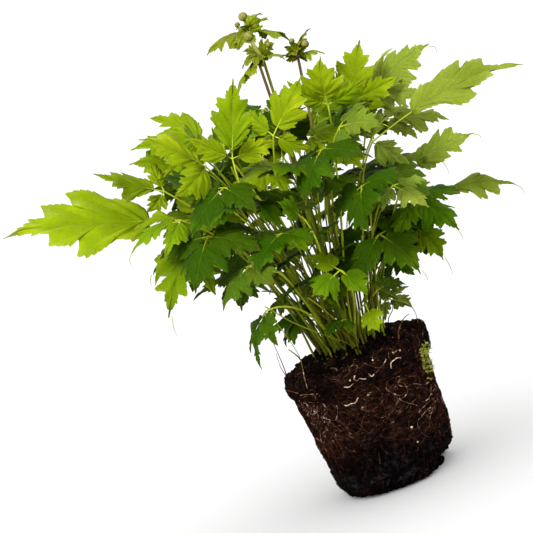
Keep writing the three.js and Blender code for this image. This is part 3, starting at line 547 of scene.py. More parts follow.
def grid_faces(rows, columns, closed=False, flip=False):
    """Quads over a grid of vertices. A closed grid joins its last column to its first."""
    i, j = np.meshgrid(np.arange(rows - 1), np.arange(columns if closed else columns - 1), indexing="ij")
    i, j = i.ravel(), j.ravel()
    k = (j + 1) % columns
    quads = np.stack([i * columns + j, i * columns + k, (i + 1) * columns + k, (i + 1) * columns + j], 1)
    return (quads[:, ::-1] if flip else quads).tolist()


def globe_grid(rows, columns):
    """Angles down from the top of a ball and round it."""
    tilt = np.linspace(0, math.pi, rows)[:, None]
    turn = (2 * math.pi * np.arange(columns) / columns)[None]
    return tilt, turn


def tube(shape, path, radii, sides, lean=(0.31, 0.17, 0.93), slot=0, tone=0.5):
    """A round tube along a path. It starts open, where it is hidden, and ends in a point."""
    path = np.asarray(path, float)
    n = len(path)
    radii, tone = (np.broadcast_to(np.asarray(value, float), (n,)) for value in (radii, tone))
    along = np.gradient(path, axis=0)
    along /= np.linalg.norm(along, axis=1, keepdims=True)
    side = np.cross(along, np.broadcast_to(lean, path.shape))
    side /= np.linalg.norm(side, axis=1, keepdims=True)
    top = np.cross(side, along)
    turn = 2 * math.pi * np.arange(sides) / sides
    across = np.cos(turn)[None, :, None] * side[:, None] + np.sin(turn)[None, :, None] * top[:, None]
    rings = path[:, None] + radii[:, None, None] * across
    tip = path[-1] + along[-1] * radii[-1]
    end = n * sides
    cap = [[end - sides + k, end - sides + (k + 1) % sides, end] for k in range(sides)]
    tones = np.append(np.repeat(tone, sides), tone[-1])
    places = np.vstack([rings.reshape(-1, 3), tip])
    shape.add(places, grid_faces(n, sides, closed=True) + cap, slot, tone=tones)


def curve(points, steps):
    """A smooth curve from the first point to the last, drawn towards those between, as steps + 1 places."""
    t = np.linspace(0, 1, steps + 1)[:, None]
    points = [np.asarray(point, float) for point in points]
    while len(points) > 1:
        points = [mix(a, b, t) for a, b in zip(points, points[1:])]
    return points[0]


def hair(shape, foot, direction, length, slot=1, width=HAIR_WIDTH):
    """One hair: a narrow triangle."""
    side = unit(np.cross(direction, [0.4, 0.7, 0.59])) * width
    places = np.array([foot - side, foot + side, foot + direction * length])
    shape.add(places, [[0, 1, 2]], slot)


# Where the stems stand and the leaves are, by the rule of the solids


def slot_places():
    return [polar(SLOT_SPACING * math.sqrt(i + 0.5), i * GOLDEN_ANGLE, 0)[:2] for i in range(SLOT_COUNT)]


def stem_start(place):
    """Where in the crown a stem that reaches out to a place would start."""
    out = math.hypot(place[0], place[1])
    spread = SLOT_SPACING * math.sqrt(SLOT_COUNT)
    radius = spread * min(1, SLOT_LEAN * out / max(SLOT_LEAST_RISE, place[2] - STEM_FREE))
    return place[0] / (out + 1e-9) * radius, place[1] / (out + 1e-9) * radius


def take_slot(free, place):
    """The free slot nearest to a stem's start."""
    x, y = stem_start(place)
    near = min(free, key=lambda slot: math.hypot(slot[0] - x, slot[1] - y))
    free.remove(near)
    return near


def dressed(spec, index):
    """What is drawn for a leaf: the waves of its edges and the twist of each leaflet."""
    random = random_from(SEED + 31 * index)
    waves = [[random() * 2 * math.pi, random() * 2 * math.pi] for _ in range(3)]
    twist = [math.radians(around(random, TWIST)) for _ in range(3)]
    return {**spec, "waves": waves, "twist": twist}


def nudged(spec, index, attempt):
    """The leaf moved a little, further with every try."""
    if attempt == 0:
        return spec
    random = random_from(SEED + 977 * index + 7919 * attempt)
    reach = NUDGE * math.sqrt(attempt)
    shift = [around(random, reach) for _ in range(3)]
    swing = [around(random, reach) for _ in range(3)]
    at = [v + shift[i] for i, v in enumerate(spec["at"])]
    tip = [v + shift[i] + swing[i] for i, v in enumerate(spec["tip"])]
    return {**spec, "at": at, "tip": tip, "roll": spec["roll"] + around(random, NUDGE_ROLL) * reach}


def tip_from(at, length, heading, rise):
    """The tip of a leaflet that runs from its junction in a heading, rising."""
    run = polar(length * math.cos(rise), heading, length * math.sin(rise))
    return [a + b for a, b in zip(at, run)]


def tier_leaf(tier, i, random):
    spread, span = TIER_SPREAD, TIER_RANGE
    azimuth = mix(TIER_FROM, TIER_TO, (i + between(random, span["place"])) / tier["count"])
    reach = tier["reach"] * between(random, span["reach"])
    rise = math.radians(tier["rise"] + around(random, spread["rise"]))
    length = tier["length"] * between(random, span["length"])
    heading = azimuth + around(random, spread["heading"])
    at = polar(reach, azimuth, tier["height"] + around(random, spread["height"]))
    return dict(
        at=at,
        tip=tip_from(at, length, heading, rise),
        sag=TIER_SAG + around(random, spread["sag"]),
        roll=around(random, spread["roll"]),
        broad=min(1, max(0, tier["broad"] + around(random, spread["tone"]))),
        dark=min(1, max(0, tier["dark"] + around(random, spread["tone"]))),
        sides=between(random, span["sides"]),
        splay=between(random, span["splay"]),
    )


def tier_leaves():
    """The leaves that fill the plant round to its back."""
    return [
        tier_leaf(tier, i, random_from(SEED + 100 * t + i))
        for t, tier in enumerate(TIERS)
        for i in range(tier["count"])
    ]


def node_places(name):
    """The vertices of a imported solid, in millimetres."""
    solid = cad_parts[name]
    places = np.empty(len(solid.data.vertices) * 3)
    solid.data.vertices.foreach_get("co", places)
    turned = np.array(solid.matrix_world)
    return (places.reshape(-1, 3) @ turned[:3, :3].T + turned[:3, 3]) / MM


def as_placed(spec, index):
    """The leaf as its solid has it: the try whose tip is a vertex of the solid."""
    places = node_places(f"leaf_{index + 1:02d}")
    spec = dressed(spec, index)
    for attempt in range(TRIES + 1):
        found = nudged(spec, index, attempt)
        if np.min(np.linalg.norm(places - found["tip"], axis=1)) < SAME_PLACE:
            return found
    raise ValueError(f"no try fits leaf {index + 1}")


class Rib:
    """The midrib of a leaflet: its place and its axes at each share of its length."""

    def __init__(self, start, forward, up, length, bend, twist):
        turns = bend * ((np.arange(RIB_SAMPLES) + 0.5) / RIB_SAMPLES) ** BEND_POWER
        self.along = np.append(0, np.cumsum(np.cos(turns))) / RIB_SAMPLES
        self.down = np.append(0, np.cumsum(np.sin(turns))) / RIB_SAMPLES
        self.start, self.forward, self.up = start, forward, up
        self.across = np.cross(forward, up)
        self.length, self.bend, self.twist = length, bend, twist

    def at(self, share):
        """Place, sideways and upward directions. Before its start the midrib runs straight back."""
        before = np.minimum(share, 0)[..., None] * self.length
        share = np.clip(share, 0, 1)
        grid = np.linspace(0, 1, RIB_SAMPLES + 1)
        along = np.interp(share, grid, self.along)[..., None] * self.length + before
        down = np.interp(share, grid, self.down)[..., None] * self.length
        turn = (self.bend * share**BEND_POWER)[..., None]
        place = self.start + along * self.forward - down * self.up
        normal = np.cos(turn) * self.up + np.sin(turn) * self.forward
        roll = (self.twist * share)[..., None]
        side = np.cos(roll) * self.across + np.sin(roll) * normal
        top = np.cos(roll) * normal - np.sin(roll) * self.across
        return place, side, top


def leaf_axes(spec):
    """Junction, forward and up at the junction, whole length and bend of the middle leaflet."""
    junction = np.array(spec["at"], float)
    chord = np.array(spec["tip"], float) - junction
    bend = math.radians(spec["sag"])
    arch = Rib(junction, np.array([1.0, 0, 0]), np.array([0, 0, 1.0]), 1, bend, 0)
    total = np.linalg.norm(chord) / math.hypot(arch.along[-1], arch.down[-1])
    drop = math.atan2(arch.down[-1], arch.along[-1])
    heading = unit(chord)
    inward = unit(np.array([-junction[0], -junction[1], 0]))
    side = unit(np.cross(heading, inward * UP_LEAN + np.array([0, 0, 1])))
    level = np.cross(side, heading)
    roll = math.radians(spec["roll"])
    face = level * math.cos(roll) + side * math.sin(roll)
    forward = heading * math.cos(drop) + face * math.sin(drop)
    up = face * math.cos(drop) - heading * math.sin(drop)
    return junction, forward, up, total, bend


# The fine leaves


def outline_rows(broad, length, points, random, coarse):
    """Samples of a toothed edge from stalk to tip. Each has the number and the start of its vein, its place
    as shares of the length, the bow there, and how far the tooth stands out on either half."""
    corners = mix(SLIM, BROAD, broad)[points] + DRAWN[points]
    starts, numbers = VEIN_STARTS[points], VEIN_NUMBERS[points]
    pitch = coarse * min(PITCH_RANGE[1], max(PITCH_RANGE[0], TOOTH_PITCH * length))
    rows = []
    for i, point in enumerate(points[:-1]):
        step = corners[i + 1] - corners[i]
        run = np.linalg.norm(step) * length
        onward = unit(step)
        outward = np.array([-onward[1], onward[0]])
        notch = point in NOTCHES
        last = i == len(points) - 2
        teeth = 1 if notch else max(2, round(run / pitch))
        depth = 0 if notch else TOOTH_DEPTH * run / teeth * (BASE_TEETH if point == 0 else 1)
        for k in range(teeth):
            usual = BIG_TOOTH if k % 3 == 1 else 1
            sizes = [usual * between(random, TOOTH_SIZES), usual * between(random, TOOTH_SIZES)]
            for along, out in TOOTH:
                t = (k + along) / teeth
                fade = mix(1, TIP_TEETH, t) if last else 1
                bow = outward * BOWS[point] * run * math.sin(math.pi * t)
                tooth = [(outward + TOOTH_LEAN * onward) * depth * fade * out * size for size in sizes]
                place = corners[i] + t * step
                vein = [mix(numbers[i], numbers[i + 1], t), mix(starts[i], starts[i + 1], t)]
                rows.append([*vein, *place, *bow, *tooth[0], *tooth[1]])
    rows.append([numbers[-1], starts[-1], *corners[-1], 0, 0, 0, 0, 0, 0])
    return np.array(rows)


class Blade:
    """A blade laid flat, as a grid: rows along its edge from stalk to tip, and columns out from its rib to
    either side. A column's v is how far out it lies, from 0 on the rib to 1 on the margin."""

    def __init__(self, rows, marks, length, widths, waves):
        number, start, along, out, bow_along, bow_out, *teeth = rows.T[..., None]
        columns = np.array([-mark for mark in reversed(marks)] + [0] + list(marks))[None]
        right = columns > 0
        v = np.abs(columns)
        ragged = v**TOOTH_FADE
        tooth_along = np.where(right, teeth[0], teeth[2]) * ragged + bow_along * v**2
        tooth_out = np.where(right, teeth[1], teeth[3]) * ragged + bow_out * v**2
        smooth = (mix(start, along, v), v * out * np.where(right, *widths))
        rise, run = (np.gradient(size * length, axis=0) for size in smooth)
        self.number, self.v, self.hand, self.length = number, v, np.sign(columns), length
        self.width = out * np.where(right, *widths)
        self.share = smooth[0] + tooth_along / length
        self.reach = np.maximum(0, smooth[1] * length + tooth_out)
        self.spacing = np.hypot(rise, run) / np.gradient(number, axis=0)
        self.phase = np.where(right, *waves)

    def lift(self, curl):
        """How far it rises over the plane of its rib: folded up, curled, waved, and puffed between veins."""
        v, turns = self.v, 2 * math.pi * self.share
        wave = WAVE * v * np.sin(WAVE_COUNT * turns + self.phase) * np.minimum(1, self.width / WAVE_FULL)
        puff = PUFF * np.sin(math.pi * self.number) ** 2 * 4 * v * (1 - v)
        ripple = np.sin(FLUTTER_COUNT * turns + FLUTTER_SHIFT * self.hand + 2 * self.phase)
        flutter = FLUTTER * v**2 * ripple * np.minimum(1, self.reach / FLUTTER_FULL)
        folded = self.reach * (math.sin(FOLD) - curl * self.reach / self.length)
        return folded + (wave + puff + flutter) * self.length


def leaflet(shape, rib, stalk, length, broad, waves, points, widths, tone, random, inner=False):
    """Both faces of a blade with a toothed edge, and a ridge under its midrib."""
    rows = outline_rows(broad, length, points, random, INNER_COARSE if inner else 1.0)
    green = between(random, GREEN) * min(1, GREEN_LEAST + tone)
    blade = Blade(rows, INNER_COLUMNS if inner else COLUMNS, length, widths, waves)
    v, hand, share, reach = blade.v, blade.hand, blade.share, blade.reach
    lift = blade.lift(between(random, CURLS))
    hook = around(random, HOOK) * length * np.maximum(0, (share - HOOK_FROM) / (1 - HOOK_FROM)) ** 2
    dry = np.clip(share, 0, 1) ** DRY_FADE * random()

    place, side, top = rib.at((stalk + share * length) / (stalk + length))
    aside = hand * reach * math.cos(FOLD) + hook
    middle = place + side * aside[..., None] + top * (lift - HOOK_SINK * np.abs(hook))[..., None]
    normal = top * math.cos(FOLD) - side * (hand * math.sin(FOLD))[..., None]
    thick = BLADE_HALF * (1 - v**4)
    ridge = RIB_RIDGE * np.exp(-((reach / RIB_REACH) ** 2)) * (1 - RIB_THINS * share) * (v < 1)

    everywhere = np.ones_like(reach)
    shade = tone + TONE_SLOPE * (1 - v - share) + TONE_WAVE * np.sin(TONE_WAVES * share + blade.phase)
    values = dict(
        blade=np.stack([blade.number * everywhere, v * everywhere], -1).reshape(-1, 2),
        flat=np.stack([share * length, hand * reach], -1).reshape(-1, 2) / 100,
        tone=shade.ravel(),
        spacing=blade.spacing.ravel(),
        dry=dry.ravel(),
        green=green,
    )
    upper = middle + normal * (thick * everywhere)[..., None]
    lower = middle - normal * (thick + ridge)[..., None]
    shape.add(upper.reshape(-1, 3), grid_faces(*reach.shape), 0, **values)
    shape.add(lower.reshape(-1, 3), grid_faces(*reach.shape, flip=True), 1, **values)


def little_stalk(shape, rib, stalk, length, radius, tone):
    """The stalk of one leaflet, running out under the foot of its midrib."""
    share = np.linspace(0, (stalk + LITTLE_RUN * length) / (stalk + length), LITTLE_RINGS)
    place, _, top = rib.at(share)
    radii = radius * np.linspace(1, LITTLE_TAPER, LITTLE_RINGS)
    sunk = top * (radii * LITTLE_SINK * np.linspace(0, 1, LITTLE_RINGS))[:, None]
    tube(shape, place - sunk, radii, LITTLE_SIDES, slot=2, tone=1 - LITTLE_SHADE * tone)


def blades(shape, spec, random, thin=1.0, inner=False, tone=None):
    """The one or three leaflets of a leaf or a bract, on their little stalks. Returns the middle midrib."""
    junction, forward, up, total, bend = leaf_axes(spec)
    tone = spec["dark"] if tone is None else tone
    stalk, broad, waves, twist = (spec[label] for label in ("stalk", "broad", "waves", "twist"))
    radius = STEM_RADIUS_HIGH * thin
    form = dict(random=random, inner=inner)
    length = total - stalk
    rib = Rib(junction, forward, up, total, bend, twist[0])
    little_stalk(shape, rib, stalk, length, radius, tone)
    leaflet(shape, rib, stalk, length, broad, waves[0], MIDDLE_POINTS, (1, 1), tone, **form)
    for k, hand in enumerate((1, -1) if spec["sides"] else ()):
        angle = math.radians(spec["splay"]) * hand
        out = forward * math.cos(angle) + np.cross(forward, up) * math.sin(angle)
        run = (min(stalk, STALK) * SIDE_STALK, length * spec["sides"])
        side_rib = Rib(junction, out, up, sum(run), bend * SIDE_BEND, twist[k + 1])
        little_stalk(shape, side_rib, *run, radius * SIDE_THIN, tone)
        widths = (1, SIDE_INNER) if hand > 0 else (SIDE_INNER, 1)
        broader = mix(broad, 1, SIDE_BROADER)
        shade = tone + between(random, SIDE_TONES)
        leaflet(shape, side_rib, *run, broader, waves[k + 1], SIDE_POINTS, widths, shade, **form)
    return rib


def dry_tail(shape, rib, length):
    """The dry thread that the tip of a leaf ends in, hanging down."""
    before, tip = rib.at(np.array([TAIL_FROM, 1.0]))[0]
    onward = unit(tip - before)
    fall = np.array([0, 0, -1.0])
    pulls = [tip + length * (ahead * onward + down * fall) for ahead, down in TAIL_COURSE]
    radii, tone = (np.linspace(*ends, TAIL_STEPS + 1) for ends in (TAIL_RADII, TAIL_TONES))
    tube(shape, curve([before, *pulls], TAIL_STEPS), radii, 5, slot=2, tone=tone)


def stem_path(root, junction, arrive, random, steps=16):
    """A leaf's stem from its foot in the soil, upright there, over to its junction, with slight bends."""
    free = np.array([*root, STEM_FREE])
    reach = junction - free
    length = np.linalg.norm(reach)
    leave = unit(LEAVE_OUT * unit(reach) + np.array([0, 0, LEAVE_UP]))
    end = unit(unit(reach) + arrive)
    pulls = [free + leave * length * LEAVE_PULL, junction - end * length * ARRIVE_PULL]
    path = curve([free, *pulls, junction], steps)
    t = np.linspace(0, 1, steps + 1)[:, None]
    for waves in (1, 2, 3):
        aside = np.array([random() - 0.5, random() - 0.5, 0]) * STEM_BENDS / waves
        path = path + aside * np.sin(math.pi * waves * t) * (1 - t**4)
    return np.vstack([[*root, STEM_FOOT], path])


def fine_leaf(name, spec, root, index):
    shape = Shape()
    junction, forward, up, _, _ = leaf_axes(spec)
    random = random_from(SEED + 5 * index + 3)
    path = stem_path(root, junction, forward, random)
    radii = STEM_SLIM * np.linspace(STEM_RADIUS_LOW, STEM_RADIUS_HIGH, len(path))
    # Darker towards the foot: the stem's browner base and painted shade in the crowded crown
    tone = np.linspace(0, 1, len(path)) ** STEM_TONE_RISE - STEM_SHADES * random()
    tube(shape, path, radii, STEM_SIDES, lean=up, slot=2, tone=tone)
    rib = blades(shape, spec, random, thin=STEM_SLIM)
    if spec["sag"] > TAIL_SAG:
        dry_tail(shape, rib, TAIL_LENGTH * (spec["sag"] / TAIL_SAG - TAIL_SHORTER))
    return shape.piece(name, "leaf_under" if index + 1 in TURNED else "leaf_upper", "leaf_under", "stem")


def inner_spec(layer, i, count):
    """One small inner leaf. They spread round the plant by the golden angle."""
    random = random_from(SEED + 1300 + 17 * count)
    spread, span = INNER_SPREAD, INNER_RANGE
    azimuth = count * GOLDEN_ANGLE + around(random, spread["azimuth"])
    reach = mix(*layer["reach"], math.sqrt(random()))
    at = polar(reach, azimuth, mix(*layer["heights"], (i + random()) / layer["count"]))
    rise = math.radians(between(random, layer["rise"]))
    length = between(random, layer["length"])
    tip = tip_from(at, length, azimuth + around(random, spread["heading"]), rise)
    sag, roll = between(random, span["sag"]), around(random, spread["roll"])
    # Young leaves, kept light also as painted light among the shaded ones
    young_and_lit = YOUNG_AND_LIT_TONE if random() < YOUNG_AND_LIT_SHARE else 1
    broad, dark = between(random, span["broad"]), between(random, layer["dark"]) * young_and_lit
    sides, splay = between(random, span["sides"]), between(random, span["splay"])
    look = dict(broad=broad, dark=dark, sides=sides, splay=splay)
    return dict(at=at, tip=tip, stalk=INNER_STALK, sag=sag, roll=roll, **look)


def inner_leaf(shape, spec, index):
    """A small inner leaf with its thin stem."""
    spec = dressed(spec, index)
    random = random_from(SEED + 5 * index + 3)
    junction, forward, up, _, _ = leaf_axes(spec)
    x, y = stem_start(spec["at"])
    turn, out = around(random, INNER_SPREAD["turn"]), between(random, INNER_RANGE["out"])
    root = polar(out * math.hypot(x, y), math.atan2(y, x) + turn, 0)[:2]
    path = stem_path(root, junction, forward, random, 12)
    thick = between(random, INNER_RANGE["thick"]) * INNER_STEM
    # Darker towards the foot: the stem's browner base and painted shade in the crowded crown
    tone = np.linspace(*INNER_TONES, len(path)) - STEM_SHADES * random()
    tube(shape, path, np.linspace(*INNER_RADII, len(path)) * thick, 5, lean=up, slot=2, tone=tone)
    blades(shape, spec, random, thin=thick, inner=True)


def inner_leaves():
    """The inner leaves, some in each piece."""
    specs = []
    for layer in INNER_LAYERS:
        for i in range(layer["count"]):
            specs.append(inner_spec(layer, i, len(specs)))
    for first in range(0, len(specs), INNER_PIECE):
        shape = Shape()
        for k, spec in enumerate(specs[first : first + INNER_PIECE]):
            inner_leaf(shape, spec, INNER_INDEX + first + k)
        piece = shape.piece(f"inner_leaves_{first // INNER_PIECE + 1}", "leaf_upper", "leaf_under", "stem")
        show(piece, "leaf_old")


# The flower stems and the buds


def ruffle(shape, head, k, random):
    """One of the small crumpled leaves round a whorl."""
    span = RUFFLE_RANGE
    azimuth = k * GOLDEN_ANGLE + random()
    rise = math.radians(between(random, span["rise"]))
    foot = head + np.array([0, 0, between(random, span["foot"])])
    tip = tip_from(foot, between(random, span["length"]), azimuth, rise)
    sag, roll = between(random, span["sag"]), around(random, RUFFLE_ROLL)
    twist, waves = [around(random, 1)], [[6 * random(), 6 * random()]]
    spec = dict(at=foot, tip=tip, sag=sag, roll=roll, twist=twist, waves=waves, **RUFFLE)
    blades(shape, spec, random, thin=RUFFLE_THIN, inner=True, tone=between(random, BRACT_TONES))


def bud_stalk(shape, head, bud, radius, random):
    """The stalk of a bud, with its hairs."""
    lift = bud - head
    end = bud - unit(lift) * radius * BUD_SUNK
    bow = mix(head, end, 0.5) + np.array([lift[0] / 5, lift[1] / 5, -1])
    thick = PEDICEL_RADIUS * (STOUT if radius > STOUT_ABOVE else min(STOUTEST, radius / SLENDER))
    path = curve([head, bow, end], PEDICEL_STEPS)
    radii = np.linspace(thick * PEDICEL_FLARE, thick, PEDICEL_STEPS + 1)
    tube(shape, path, radii, 7, slot=4, tone=np.linspace(*PEDICEL_TONE, PEDICEL_STEPS + 1))
    for _ in range(PEDICEL_HAIRS):
        place = mix(path[0], path[-1], random())
        place = path[np.argmin(np.linalg.norm(path - place, axis=1))]
        direction = unit(tossed(random, 0.2))
        length = HAIR_LENGTH * between(random, PEDICEL_LENGTHS)
        hair(shape, place + direction * thick * PEDICEL_HAIR_FOOT, direction, length, 5)


def fine_flower_stem(name, spec, root, index):
    """The stalk, the lobed bracts of its whorl, and the little stalks of its buds."""
    shape = Shape()
    random = random_from(SEED + 41 * index + 7)
    head = np.array(spec["whorl"], float)
    free = np.array([*root, STEM_FREE])
    middle = mix(free, head, 0.5) + np.array([0, 0, FLOWER_BOW])
    path = np.vstack([[*root, STEM_FOOT], curve([free, middle, head], 20)])
    radii = np.linspace(FLOWER_RADIUS_LOW, FLOWER_RADIUS_HIGH, len(path))
    tube(shape, path, radii, 9, slot=3, tone=spec["tones"][0] + np.linspace(0, spec["tones"][1], len(path)))
    for i, (*tip, sides) in enumerate(spec["bracts"]):
        waves = [[i + k, i + k + 2] for k in range(3)]
        bract = {**BRACT, "at": spec["whorl"], "tip": tip, "sides": sides, "waves": waves}
        blades(shape, bract, random, tone=between(random, BRACT_TONES))
    for k in range(RUFFLES):
        ruffle(shape, head, k, random)
    for *bud, radius in spec["buds"]:
        bud_stalk(shape, head, np.array(bud, float), radius, random)
    return shape.piece(name, "bract", "bract_under", "flower_stalk", "flower_stalk", "pedicel", "hair")


def fine_bud(name, whorl, bud):
    """A closed bud: five furry sepals folded over one another, with a seam between each two."""
    shape = Shape()
    *middle, radius = bud
    middle = np.array(middle, float)
    axis = unit(middle - np.array(whorl, float))
    side = unit(np.cross(axis, [0.3, 0.9, 0.1]))
    top = np.cross(axis, side)
    tilt, turn = globe_grid(*BUD_GRID)
    seam = np.abs(np.sin(SEPALS / 2 * (turn + SEPAL_LEAN * tilt))) ** SEAM_POWER
    swell = radius * mix(1, seam * np.sin(tilt), SEAM_DEPTH)
    height = -np.cos(tilt) * swell * np.where(tilt > math.pi / 2, *BUD_LENGTHS)
    out = np.sin(tilt) ** BUD_POWER * swell
    outward = (out * np.cos(turn))[..., None] * side + (out * np.sin(turn))[..., None] * top
    places = (height[..., None] * axis + outward).reshape(-1, 3)
    # The pink flush and painted light: the side towards the key lamp is pinker and lighter, and the far side
    # and the seams are painted darker.
    pink_and_lit = np.clip(BUD_PINK_AND_LIGHT_SHARES[0] + BUD_PINK_AND_LIGHT_SHARES[1] * places @ unit(np.array(BUD_PINK_AND_LIGHT_SIDE)) / radius, 0, 1)
    tone = pink_and_lit * mix(SEAM_PINK_AND_LIGHT, 1, seam.ravel())
    shape.add(middle + places, grid_faces(*BUD_GRID, closed=True), tone=tone)
    random = random_from(SEED + round(10 * middle[0]))
    for _ in range(BUD_HAIRS):
        direction = unit(tossed(random))
        foot = middle + direction * radius * BUD_HAIR_FOOT
        hair(shape, foot, unit(direction + HAIR_LEAN * axis), HAIR_LENGTH * between(random, HAIR_LENGTHS))
    return shape.piece(name, "bud", "hair")


# The root ball


def ball_profile():
    """Radius and height of points up the ball's side, from the middle of its foot to that of its top."""
    collar_foot = BALL_HEIGHT - COLLAR_HEIGHT

    def wall(z):
        high_radius = RIM_RADIUS - COLLAR_STEP - 1
        return [mix(WALL_LOW_RADIUS, high_radius, (z - FOOT_CURVE) / (collar_foot - FOOT_CURVE)), z]

    return np.array([
        [0, 0], [FOOT_RADIUS, 0], [WALL_LOW_RADIUS - 4, 2.6], wall(FOOT_CURVE), wall(36), wall(66),
        wall(collar_foot - 3), [RIM_RADIUS - 1, collar_foot + 1], [RIM_RADIUS, BALL_HEIGHT - 9],
        [RIM_RADIUS - 1, BALL_HEIGHT - 2], [RIM_RADIUS - 5, BALL_HEIGHT], [RIM_RADIUS - 18, BALL_HEIGHT + 1],
        [CROWN_RADIUS, BALL_HEIGHT + CROWN_RISE * 0.7], [0, BALL_HEIGHT + CROWN_RISE],
    ])


def strayed(radius, height, angle):
    """Radius and height on the ball once it is lumpy and has its chip and its uneven top."""
    on_foot = height < 0.01
    across = np.maximum(0, 1 - np.abs(angle - CHIP_AT) / CHIP_HALF_WIDTH)
    chip = np.minimum(1, 2 * across) * np.maximum(0, 1 - height / CHIP_HEIGHT)
    lump = sum(deep * np.sin(count * angle + climb * height) for count, climb, deep in LUMPS)
    firm = np.where(on_foot & (radius < FOOT_RADIUS - 1), 0, np.minimum(1, radius))
    grown = radius + (lump * np.where(on_foot, 0.3, 1) - CHIP_DEPTH * chip) * firm
    waves = sum(high * np.sin(count * (angle + 1)) for count, high in CROWN_WAVES)
    tilt = CROWN_TILT * (radius / RIM_RADIUS * np.cos(angle) - 0.4)
    top = np.minimum(1, radius / CROWN_RADIUS) * waves + tilt
    share = np.clip((height - (BALL_HEIGHT - 14)) / 7, 0, 1)
    return grown, height + np.where(on_foot, 0, CHIP_RISE * chip) + top * share


def rough(x, y, z, size):
    return noise.noise((x / size, y / size, z / size))


def grainy(x, y, z, grain):
    """How far one kind of grain lifts the surface."""
    depth, size = grain
    return depth * rough(x, y, z, size)


def crumbly(x, y, z):
    """How far the surface stands out or in: fine crumbs, coarser at the foot and on the top."""
    fine = grainy(x, y, z, FINE_GRAIN) + grainy(x + 40, y, z, CRUMB_GRAIN)
    lumps = grainy(x, y + 70, z, LUMP_GRAIN)
    low = max(0, 1 - max(0, z - BLACK_BELOW + FOOT_COARSE[0]) / FOOT_COARSE[1])
    high = max(0, min(1, (z - BALL_HEIGHT + TOP_COARSE) / TOP_COARSE))
    coarse = abs(grainy(x, y, z + 30, CLOD_GRAIN)) - CLOD_SINK + grainy(x, y, z, BIT_GRAIN)
    return fine + lumps + (low * FOOT_COARSER + high) * coarse


class Ball:
    """The surface of the root ball as a grid: rows from the foot to the top, columns round it."""

    def __init__(self):
        profile = ball_profile()
        marks = np.append(0, np.cumsum(np.linalg.norm(np.diff(profile, axis=0), axis=1)))
        self.row_step = marks[-1] / BALL_ROWS
        rows = np.linspace(0, marks[-1], BALL_ROWS)
        radius, height = (np.interp(rows, marks, values) for values in profile.T)
        angle = (2 * math.pi * np.arange(BALL_COLUMNS) / BALL_COLUMNS)[None]
        angle = np.where(angle > math.pi, angle - 2 * math.pi, angle)
        grown, z = strayed(radius[:, None], height[:, None], angle)
        self.places = np.stack([grown * np.cos(angle), grown * np.sin(angle), z], -1)
        rise, run = np.gradient(height), np.gradient(radius)
        norm = np.hypot(rise, run)
        out, lift = (rise / norm)[:, None], (-run / norm)[:, None]
        self.normals = np.stack([out * np.cos(angle), out * np.sin(angle), lift * np.ones_like(angle)], -1)
        self.shift = np.array([crumbly(*place) for place in self.places.reshape(-1, 3)]).reshape(z.shape)
        self.places += self.normals * self.shift[..., None]
        self.places[..., 2] = np.maximum(self.places[..., 2], 0)
        self.heights = np.median(self.places[..., 2], axis=1)

    def row_at(self, height):
        """The row where the side of the ball is this high."""
        first = int(np.argmax(self.heights > 1))
        return first + int(np.argmax(self.heights[first:] >= height))

    def on(self, row, angle):
        """Place and outward direction on the surface, at rows and angles that may lie between the grid's."""
        row = np.clip(row, 0, BALL_ROWS - 1.001)
        column = (np.asarray(angle) / (2 * math.pi) * BALL_COLUMNS) % BALL_COLUMNS
        i, j = row.astype(int), column.astype(int)
        k = (j + 1) % BALL_COLUMNS
        s, t = (row - i)[..., None], (column - j)[..., None]
        low, high = (mix(self.places[near, j], self.places[near, k], t) for near in (i, i + 1))
        return mix(low, high, s), self.normals[i, j]

    def front(self, x, z, out=0):
        """A place on the side that the picture shows, by its x and its height."""
        row = np.array(float(self.row_at(min(z, BALL_HEIGHT - 1))))
        radius = np.linalg.norm(self.on(row, -math.pi / 2)[0][:2])
        place, normal = self.on(row, -math.acos(max(-1, min(1, x / radius))))
        return place + normal * out

    def piece(self):
        shape = Shape()
        # Painted shade and light: the soil is darker in its hollows and lighter on its raised grains, by how
        # far its surface is moved.
        tone = np.clip(0.5 + 0.35 * self.shift.ravel(), 0, 1)
        shape.add(self.places.reshape(-1, 3), grid_faces(BALL_ROWS, BALL_COLUMNS, closed=True), tone=tone)
        return shape.piece("soil", "soil")


def ridge(shape, path, normals, radii, tone):
    """A thin root that lies on a surface: a rounded ridge along a path, with its feet sunk in."""
    along = np.gradient(path, axis=0)
    side = np.cross(along, normals)
    side *= (radii / np.linalg.norm(side, axis=1))[:, None]
    top = normals * radii[:, None]
    places = np.stack([path - side - RIDGE_SUNK * top, path + top, path + side - RIDGE_SUNK * top], 1)
    shape.add(places.reshape(-1, 3), grid_faces(len(path), 3), tone=tone)


def wander(ball, rows, heading, count, random):
    """Rows and angles of a root that wanders over the ball, at the start of each of its steps."""
    row = between(random, rows)
    angle = random() * 2 * math.pi
    turned = heading[0] + heading[1] * math.pi * (random() - 0.5) + (math.pi if random() > 0.5 else 0)
    curl = (random() - 0.5) * STRAND_CURL
    course = []
    for _ in range(round(between(random, count))):
        course.append((row, angle))
        curl = mix(curl, (random() - 0.5) * STRAND_WANDER, STRAND_TURN)
        turned += curl
        row = min(rows[1], max(rows[0], row + STRAND_STEP * math.sin(turned) / ball.row_step))
        angle += STRAND_STEP * math.cos(turned) / WALL_LOW_RADIUS
    return np.array(course).T


